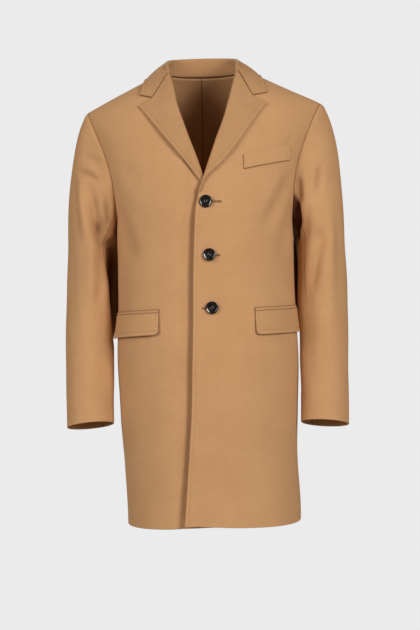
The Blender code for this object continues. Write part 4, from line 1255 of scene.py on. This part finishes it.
def makeSleeve(side, word, firstTurn, lastTurn):
    cut = sleevePiece
    capRows = np.linspace(cut["seamRows"][-1], 1, cut["capRows"])
    cuffRows = 2 - np.array(edgeSteps["fold"])[::-1] / (sleeveCut["biceps"] - sleeveCut["cuff"][side])
    armRows = np.linspace(1, cuffRows[0], cut["armRows"])[1:-1]
    rows = np.concatenate([cut["seamRows"][:-1], capRows, armRows, cuffRows])
    fineShare = np.linspace(0, 1, cut["fineColumns"])
    fine = sleeveForm(side, between(firstTurn, lastTurn, fineShare), rows[:, None])
    count = int((lastTurn - firstTurn) / cut["turnStep"])
    turn = between(firstTurn, lastTurn, spacedShares(fine, fineShare, "seam", "seam", count))
    outer, away, dark = sleeveSkin(side, turn, np.broadcast_to(rows[:, None], turn.shape))
    atHole = (1 - ease(rows / cut["seamRows"][-1]))[:, None, None]
    # along the armhole the cloth stands as the body's does
    atBody = bodyNormal(side, *armholeAngle(side, turn[0]))
    away = unit(between(away, atBody, atHole))
    flatBelow = ease((rows - cut["foreSeamTo"]) / cut["foreSeamFade"])
    foreSeam = ("seam", (1 - cut["foreSeamFlat"] * flatBelow)[:, None])
    seams = [("seam", 1.0), foreSeam] if word == "top" else [foreSeam, ("seam", 1.0)]
    middle = outer - away * cut["thickness"] / 2
    sew(f"{word}Sleeve_{sideWord[side]}", f"{word}_sleeve_{sideWord[side]}", middle, away, cut["thickness"],
        seams + [("seam", 1.0), ("fold", 1.0)], shade=dark)


for side in (left, right):
    makeSleeve(side, "top", sleeveCut["hindSeam"] - 360, sleeveCut["foreSeam"])
    makeSleeve(side, "under", sleeveCut["foreSeam"], sleeveCut["hindSeam"])
print("sleeves made")


# pockets

pocketCut = {
    "inner": {left: 0.0945, right: 0.0935},
    "top": {left: -0.4945, right: -0.494},
    "outerAngle": -6.0,
    "outerTop": {left: -0.4905, right: -0.4975},
    "flapInner": {left: 0.048, right: 0.044},
    "flapOuter": {left: 0.048, right: 0.048},
    "flapCorners": (0.009, 0.0045),
    "flapFlare": {left: 0.003, right: 0.0048},
    "flapFlarePower": 1.5,
    "flapBelly": 0.001,
    "flapThickness": 0.003,
    "flapTopRows": [0, 0.0004, 0.001, 0.002],
    # painted shade on the left flap, then how much wider the flaps' painted shadow line along their edges is
    "shade": {left: 0.06, right: 0.0},
    "under": 2.0,
    "jetHeight": 0.0062,
    "jetCut": 0.0195,  # the strip's width before it is folded
    "jetThickness": 0.0016,
    "jetRows": [0.0001, 0.0003, 0.0008, 0.0016, 0.0031, 0.0046, 0.0054, 0.0059, 0.0061],
    "jetColumns": 70,
    "lying": 0.0004,
    "columns": 60,
    "fineColumns": 200,
    "rows": 30,
}


def pocketLine(side, share):
    top = pocketCut["top"][side]
    inner = float(frontAngle(side, pocketCut["inner"][side], top))
    return between(inner, pocketCut["outerAngle"], share), between(top, pocketCut["outerTop"][side], share)


def makeFlap(side):
    cut = pocketCut
    fineShare = np.linspace(0, 1, cut["fineColumns"])
    fine = bodyForm(side, *pocketLine(side, fineShare))[None]
    share = spacedShares(fine, fineShare, "stitched", "stitched", cut["columns"])[0]
    angle, top = pocketLine(side, share)
    run = np.interp(share, fineShare, runLength(fine, 1)[0])
    rounded = 0
    for corner, gap in zip(cut["flapCorners"], (run, run[-1] - run)):
        short = np.clip(corner - gap, 0, corner)
        rounded = rounded + corner - np.sqrt(np.maximum(corner**2 - short**2, 0))
    most = cut["flapOuter"][side]
    high = between(cut["flapInner"][side], most, share)
    steps = np.array(edgeSteps["stitched"])
    topRows = cut["flapTopRows"]
    drop = np.linspace(topRows[-1], most - steps[-1], cut["rows"])[:-1]
    drop = np.concatenate([topRows[:-1], drop, most - steps[::-1]])
    down = drop[:, None] * ((high - rounded) / most)
    height = top - down
    flare = cut["flapFlare"][side] * (down / high) ** cut["flapFlarePower"]
    belly = cut["flapBelly"] * np.sin(math.pi * share) * np.sin(math.pi * np.clip(down / high, 0, 1))
    lift = cut["lying"] + cut["flapThickness"] / 2 + flare + belly
    middle, away = bodySkin(side, np.broadcast_to(angle, height.shape), height, lift)
    sew(f"flap_{sideWord[side]}_cloth", f"flap_{sideWord[side]}", middle, away, cut["flapThickness"],
        [("stitched", 1.0), ("fold", 1.0), ("seam", 1.0), ("stitched", 1.0)],
        cut["shade"][side], cut["under"])


def makeJet(side):
    cut = pocketCut
    angle, top = pocketLine(side, np.linspace(0, 1, cut["jetColumns"]))
    height = top + np.array(cut["jetRows"])[:, None]
    lift = cut["lying"] + cut["jetThickness"] / 2
    middle, away = bodySkin(side, np.broadcast_to(angle, height.shape), height, lift)
    piece, _ = clothPiece(f"jet_{sideWord[side]}_cloth", middle, away, cut["jetThickness"],
                          [("seam", 1.0), ("seam", 1.0), ("fold", 1.0), ("seam", 1.2)])
    settle(piece, "camel_wool", f"jet_{sideWord[side]}")


weltCut = {
    "inner": (0.0792, -0.2008),
    "outer": (0.1725, -0.1815),
    "length": 0.104,
    "height": 0.029,
    "thickness": 0.0024,
    "lying": 0.0004,
    "topLift": 0.0006,
    "columns": 44,
    "lowRows": [0, 0.0003, 0.0008, 0.0016, 0.003],
    "middleRows": 14,
    "topRows": [0.004, 0.0018, 0.0009, 0.0003, 0],
}


def makeWelt():
    cut = weltCut
    ends = np.array(edgeSteps["stitched"])[:-1] / cut["length"]
    share = np.linspace(ends[-1], 1 - ends[-1], cut["columns"])[1:-1]
    share = np.concatenate([ends, share, 1 - ends[::-1]])
    line = between(np.array(cut["inner"]), np.array(cut["outer"]), share[:, None])
    high = cut["height"]
    top = high - np.array(cut["topRows"])
    up = np.linspace(cut["lowRows"][-1], top[0], cut["middleRows"])
    up = np.concatenate([cut["lowRows"][:-1], up, top[1:]])
    height = line[:, 1] + (up - high / 2)[:, None]
    lift = cut["lying"] + cut["thickness"] / 2 + cut["topLift"] * (up / high)[:, None] ** 2
    middle, away = frontSkin(left, np.broadcast_to(line[:, 0], height.shape), height, lift)
    sew("breastPocket_welt", "breast_welt", middle, away, cut["thickness"],
        [("stitched", 1.0), ("stitched", 1.0), ("seam", 1.0), ("fold", 1.0)])


for side in (left, right):
    makeFlap(side)
    makeJet(side)
makeWelt()
print("pockets made")


# stitches: short spindles of thread, joined into one mesh for each kind of sewing

spindleRings = 5
spindleSides = 6
spindleTip = 0.04  # share of the length that is cut off at each pointed end


def spindles(name, starts, ends, normals, radius, arch, look):
    count = len(starts)
    along = unit(ends - starts)
    across = unit(np.cross(normals, along))
    t = np.linspace(0, 1, spindleRings)
    fat = radius * np.sqrt(np.clip(np.sin(np.pi * (spindleTip + (1 - 2 * spindleTip) * t)), 0, 1))
    turn = np.arange(spindleSides) * 2 * math.pi / spindleSides
    centre = between(starts[:, None], ends[:, None], t[:, None])
    centre = centre + normals[:, None] * (arch * np.sin(np.pi * t))[:, None]
    ring = across[:, None] * np.cos(turn)[:, None] + normals[:, None] * np.sin(turn)[:, None]
    points = centre[:, :, None] + ring[:, None] * fat[:, None, None]
    number = np.arange(count * spindleRings * spindleSides).reshape(count, spindleRings, spindleSides)
    after = np.roll(number, -1, axis=2)
    walls = np.stack([number[:, :-1], after[:, :-1], after[:, 1:], number[:, 1:]], -1).reshape(-1, 4)
    faces = walls.tolist() + number[:, 0, ::-1].tolist() + number[:, -1].tolist()
    return meshPiece(name, points.reshape(-1, 3), faces, look, {}, False)


edgeSewing = {
    "pitch": 0.0046,
    "length": 0.0026,
    "radius": 0.00028,
    "arch": 0.0001,
    "onWelt": 0.0022,  # distance from the welt's ends
    "belowBreak": 0.012,
    # piece, its edge, and the first and last share of that edge that is sewn
    "pairs": [("lapel", 1, 0.16, 0.985), ("flap", 0, 0.0, 0.8), ("flap", 3, 0.03, 1.0)],
    "whole": (0.02, 0.98),
}


def stitchEnds(line, normals):
    run = runLength(line, 0)
    middle = np.arange(edgeSewing["pitch"], run[-1] - edgeSewing["pitch"] / 2, edgeSewing["pitch"])

    def at(where, values):
        return np.stack([np.interp(where, run, values[:, k]) for k in range(3)], -1)

    half = edgeSewing["length"] / 2
    return at(middle - half, line), at(middle + half, line), unit(at(middle, normals))


def makeEdgeSewing():
    distance = stitchLine["distance"]
    lines = []
    for word in sideWord.values():
        for piece, edge, first, last in edgeSewing["pairs"]:
            lines.append(lineAt(cloths[f"{piece}_{word}"], edge, distance, first, last))
    lines.append(lineAt(cloths["collar"], 1, distance, *edgeSewing["whole"]))
    points, normals = lineAt(cloths["front_left"], 0, distance)
    kept = points[:, 2] < lapelCut["rollBottom"] - edgeSewing["belowBreak"]
    lines.append((points[kept], normals[kept]))
    for edge in (0, 1):
        lines.append(lineAt(cloths["breast_welt"], edge, edgeSewing["onWelt"], *edgeSewing["whole"]))
    starts, ends, normals = (np.concatenate(found) for found in zip(*(stitchEnds(*line) for line in lines)))
    piece = spindles("edgeStitching", starts, ends, normals, edgeSewing["radius"], edgeSewing["arch"],
                     edgeThread)
    settle(piece, "camel_wool")
    print("edge stitches:", len(starts))


buttonHoles = {
    "inner": {"top": (0.002, -0.2788), "middle": (-0.003, -0.3838), "bottom": (-0.009, -0.488)},
    "length": 0.0305,
    "pitch": 0.00072,
    "slit": 0.00025,
    "lip": 0.0021,
    "barHalf": 0.0016,
    "barStitches": 5,
    "radius": 0.00042,
    "arch": 0.00035,
    "lift": {"slit": 0.0002, "bar": 0.0001, "lip": -0.0001},
    "tilt": 0.02,
}


def makeButtonHoles():
    # stitches round both sides of each slit, and a bar across its end
    cut = buttonHoles
    lift = cut["lift"]
    sewn = []
    for out, height in cut["inner"].values():
        along = np.arange(0, cut["length"], cut["pitch"])
        level = height - cut["tilt"] * along
        for way in (1, -1):
            inside, away = frontSkin(left, out + along, level + way * cut["slit"], lift["slit"])
            outside, _ = frontSkin(left, out + along, level + way * cut["lip"], lift["lip"])
            sewn.append((inside, outside, away))
        bar = np.linspace(-cut["barHalf"], cut["barHalf"], cut["barStitches"])
        bar = height - cut["tilt"] * cut["length"] + bar
        inside, away = frontSkin(left, out + cut["length"], bar, lift["bar"])
        outside, _ = frontSkin(left, out + cut["length"] + cut["barHalf"], bar, lift["lip"])
        sewn.append((inside, outside, away))
    starts, ends, normals = (np.concatenate(found) for found in zip(*sewn))
    piece = spindles("buttonholeTwist", starts, ends, normals, cut["radius"], cut["arch"], holeThread)
    settle(piece, "camel_wool")


makeEdgeSewing()
makeButtonHoles()
print("sewing made")


# buttons: a turned disc with a raised rim, four holes and thread

buttonCut = {
    "radius": 0.0125,
    "thick": 0.0042,
    "sides": 64,
    "rim": 0.0027,
    "rimInsets": (0.75, 0.35),  # shares of the rim: its top, and the step down from it
    "rimStep": 0.0005,
    "dishRadius": 0.07,
    "dishRings": 5,
    "dishRing": 0.0016,
    "backInsets": (0.24, 0.3),
    "backEdge": 0.34,  # share of the thickness at which the turned-up back meets the side
    "backLine": (0.1, 0.9),  # what is below and outside these shares is turned up
    "facing": 0.9,
    "bevel": 0.0006,
    "bevelSteps": 4,
    "bevelAngle": 24,
    "smoothAngle": 35,
    "stand": 0.001,
    "hole": 0.00095,
    "holeSides": 20,
    "holeOut": 0.0024,
    "strands": (-0.00032, 0.0, 0.00032),
    "strandUp": -0.0002,
    "stemStrands": 5,
    "stemRadius": 0.0009,
    "stemBetween": (0.0004, -0.0024),
    "threadRadius": 0.00032,
    "threadArch": 0.0007,
    "places": {
        "top": {"at": (0.0033, -0.2783), "turn": 14, "tilt": (2.0, -3.0)},
        "middle": {"at": (0.0076, -0.3828), "turn": -22, "tilt": (-2.0, 2.0)},
        "bottom": {"at": (0.0103, -0.4868), "turn": 38, "tilt": (1.0, 3.0)},
    },
}


def selectFaces(piece, test):
    bpy.ops.object.mode_set(mode="EDIT")
    bpy.ops.mesh.select_mode(type="FACE")
    bpy.ops.mesh.select_all(action="DESELECT")
    bpy.ops.object.mode_set(mode="OBJECT")
    for polygon in piece.data.polygons:
        polygon.select = test(polygon)
    bpy.ops.object.mode_set(mode="EDIT")


def buttonPlace(place):
    point, _ = frontSkin(left, *place["at"])
    tiltX, tiltZ = place["tilt"]
    upright = Matrix.Rotation(math.radians(90 + tiltX), 4, "X")
    turned = Matrix.Rotation(math.radians(tiltZ), 4, "Z") @ upright
    spin = Matrix.Rotation(math.radians(place["turn"]), 4, "Z")
    return Matrix.Translation(Vector(point) + Vector((0, -buttonCut["stand"], 0))) @ turned @ spin


def dishEdge():
    return buttonCut["radius"] - buttonCut["rim"] * sum(buttonCut["rimInsets"])


def dishFall(outer, inner):
    return (outer**2 - inner**2) / (2 * buttonCut["dishRadius"])


def makeButton(word, place):
    cut = buttonCut
    thick = cut["thick"]
    bpy.ops.object.select_all(action="DESELECT")
    bpy.ops.mesh.primitive_cylinder_add(vertices=cut["sides"], radius=cut["radius"], depth=thick,
                                        location=(0, 0, thick / 2))
    piece = bpy.context.object
    piece.name = f"button_{word}_horn"
    bpy.ops.object.transform_apply(location=True, rotation=True, scale=True)
    selectFaces(piece, lambda p: p.normal.z > cut["facing"])
    for share in cut["rimInsets"]:
        bpy.ops.mesh.inset(thickness=cut["rim"] * share)
    bpy.ops.transform.translate(value=(0, 0, -cut["rimStep"]))
    ring = dishEdge()
    for _ in range(cut["dishRings"]):
        bpy.ops.mesh.inset(thickness=cut["dishRing"])
        bpy.ops.transform.translate(value=(0, 0, -dishFall(ring, ring - cut["dishRing"])))
        ring -= cut["dishRing"]
    selectFaces(piece, lambda p: p.normal.z < -cut["facing"])
    for share in cut["backInsets"]:
        bpy.ops.mesh.inset(thickness=cut["radius"] * share)
    bpy.ops.object.mode_set(mode="OBJECT")
    low, outer = cut["backLine"]
    for vertex in piece.data.vertices:  # turn up the back's edge
        out = math.hypot(vertex.co.x, vertex.co.y)
        if vertex.co.z < thick * low and out > cut["radius"] * outer:
            vertex.co.z = thick * cut["backEdge"]
    bevel = piece.modifiers.new("roundedEdges", "BEVEL")
    bevel.width = cut["bevel"]
    bevel.segments = cut["bevelSteps"]
    bevel.limit_method = "ANGLE"
    bevel.angle_limit = math.radians(cut["bevelAngle"])
    bpy.ops.object.modifier_apply(modifier=bevel.name)
    for across in (-1, 1):
        for along in (-1, 1):
            bpy.ops.object.select_all(action="DESELECT")
            spot = (across * cut["holeOut"], along * cut["holeOut"], thick / 2)
            bpy.ops.mesh.primitive_cylinder_add(vertices=cut["holeSides"], radius=cut["hole"],
                                                depth=thick * 3, location=spot)
            drill = bpy.context.object
            bpy.context.view_layer.objects.active = piece
            bore = piece.modifiers.new("threadHole", "BOOLEAN")
            bore.operation = "DIFFERENCE"
            bore.solver = "EXACT"
            bore.object = drill
            bpy.ops.object.modifier_apply(modifier=bore.name)
            bpy.data.objects.remove(drill, do_unlink=True)
    bpy.ops.object.select_all(action="DESELECT")
    piece.select_set(True)
    bpy.context.view_layer.objects.active = piece
    piece.matrix_world = buttonPlace(place)
    bpy.ops.object.transform_apply(location=True, rotation=True, scale=True)
    bpy.ops.object.shade_smooth_by_angle(angle=math.radians(cut["smoothAngle"]))
    piece.data.materials.clear()
    piece.data.materials.append(horn)
    settle(piece, "dark_horn", f"button_{word}")


def makeButtonThread():
    # strands across each pair of holes, and the stem under the button
    cut = buttonCut
    hole = cut["holeOut"]
    top = cut["thick"] - cut["rimStep"] - dishFall(dishEdge(), math.sqrt(2) * hole) + cut["strandUp"]
    stemTop, stemEnd = cut["stemBetween"]
    strands = []  # start, end and outward direction, as on a button lying flat
    for across in (-hole, hole):
        for strand in cut["strands"]:
            x = across + strand
            strands.append(((x, -hole, top), (x, hole, top), (0, 0, 1)))
    for k in range(cut["stemStrands"]):
        turn = k * 2 * math.pi / cut["stemStrands"]
        x = cut["stemRadius"] * math.cos(turn)
        y = cut["stemRadius"] * math.sin(turn)
        strands.append(((x, y, stemTop), (x, y, stemEnd), (1, 0, 0)))
    flat = np.array(strands)
    sewn = []
    for place in cut["places"].values():
        matrix = np.array(buttonPlace(place))
        moved = flat @ matrix[:3, :3].T
        moved[:, :2] += matrix[:3, 3]
        sewn.append(moved)
    starts, ends, normals = np.moveaxis(np.concatenate(sewn), 1, 0)
    piece = spindles("buttonThread", starts, ends, normals, cut["threadRadius"], cut["threadArch"],
                     buttonThread)
    settle(piece, "dark_horn")


for word, place in buttonCut["places"].items():
    makeButton(word, place)
makeButtonThread()
print("buttons made")


# stage: pale floor that fades into the background, soft frontal light, camera

studio = {
    "floor": "#EDEDED",
    "floorHeight": -1.47,
    "floorRadius": 3.2,
    "floorSides": 96,
    "floorRoughness": 0.9,
    "floorFade": (0.8, 1.34),
    "background": "#EBEBEB",
    "ambient": 0.09,
    "bounce": "#F6DCC2",  # warm light thrown back by the room
    "lights": {
        "rightBox": {"at": (1.95, -2.55, 0.55), "aim": (0, 0, -0.3), "size": (1.2, 1.5), "power": 76},
        "leftBox": {"at": (-2.25, -2.35, 0.6), "aim": (0, 0, -0.3), "size": (1.9, 1.9), "power": 65},
        "backBox": {"at": (-0.6, 3.6, 1.4), "aim": (0, 0, -0.4), "size": (2.6, 2.2), "power": 80},
    },
}


def makeFloor():
    bpy.ops.object.select_all(action="DESELECT")
    bpy.ops.mesh.primitive_circle_add(vertices=studio["floorSides"], radius=studio["floorRadius"],
                                      fill_type="NGON", location=(0, 0, studio["floorHeight"]))
    floor = bpy.context.object
    floor.name = "studioFloor"
    # matt paper sweep that fades out before its edge
    made, shader = newMaterial("palePaperFloor", studio["floorRoughness"])
    shader.inputs["Base Color"].default_value = hexColour(studio["floor"])
    place = addNode(made, "ShaderNodeTexCoord", {})
    far = addNode(made, "ShaderNodeVectorMath", {"operation": "LENGTH"}, [(0, place, "Object")])
    near, edge = studio["floorFade"]
    settings = {"From Min": near, "From Max": edge, "To Min": 1.0, "To Max": 0.0}
    fade = addNode(made, "ShaderNodeMapRange", settings, [("Value", far, "Value")])
    made.node_tree.links.new(fade.outputs["Result"], shader.inputs["Alpha"])
    floor.data.materials.append(made)


def makeLights():
    for name, row in studio["lights"].items():
        data = bpy.data.lights.new(name, "AREA")
        data.shape = "RECTANGLE"
        data.size, data.size_y = row["size"]
        data.energy = row["power"]
        lamp = bpy.data.objects.new(name, data)
        bpy.context.scene.collection.objects.link(lamp)
        lamp.location = row["at"]
        lamp.rotation_euler = (Vector(row["aim"]) - Vector(row["at"])).to_track_quat("-Z", "Y").to_euler()
        lamp.visible_camera = False
    world = bpy.data.worlds.new("softRoom")
    bpy.context.scene.world = world
    world.use_nodes = True
    room = world.node_tree.nodes["Background"]
    room.inputs["Color"].default_value = hexColour(studio["bounce"])
    room.inputs["Strength"].default_value = studio["ambient"]
    seen = addNode(world, "ShaderNodeBackground", {"Color": hexColour(studio["background"])})
    path = addNode(world, "ShaderNodeLightPath", {})
    mix = addNode(world, "ShaderNodeMixShader", {}, [(0, path, "Is Camera Ray"), (1, room, 0), (2, seen, 0)])
    world.node_tree.links.new(mix.outputs[0], world.node_tree.nodes["World Output"].inputs["Surface"])


camera = {"at": (0.0062, -2.8, -0.501), "lens": 77.6, "roll": -0.0244}


def makeCamera():
    data = bpy.data.cameras.new("photoCamera")
    data.sensor_width = 36
    data.lens = camera["lens"]
    item = bpy.data.objects.new("photoCamera", data)
    bpy.context.scene.collection.objects.link(item)
    item.matrix_world = (Matrix.Translation(camera["at"]) @ Matrix.Rotation(math.pi / 2, 4, "X")
                         @ Matrix.Rotation(camera["roll"], 4, "Z"))
    bpy.context.scene.camera = item


makeFloor()
makeLights()
makeCamera()
bpy.context.scene.view_settings.view_transform = "Standard"
print("studio ready")
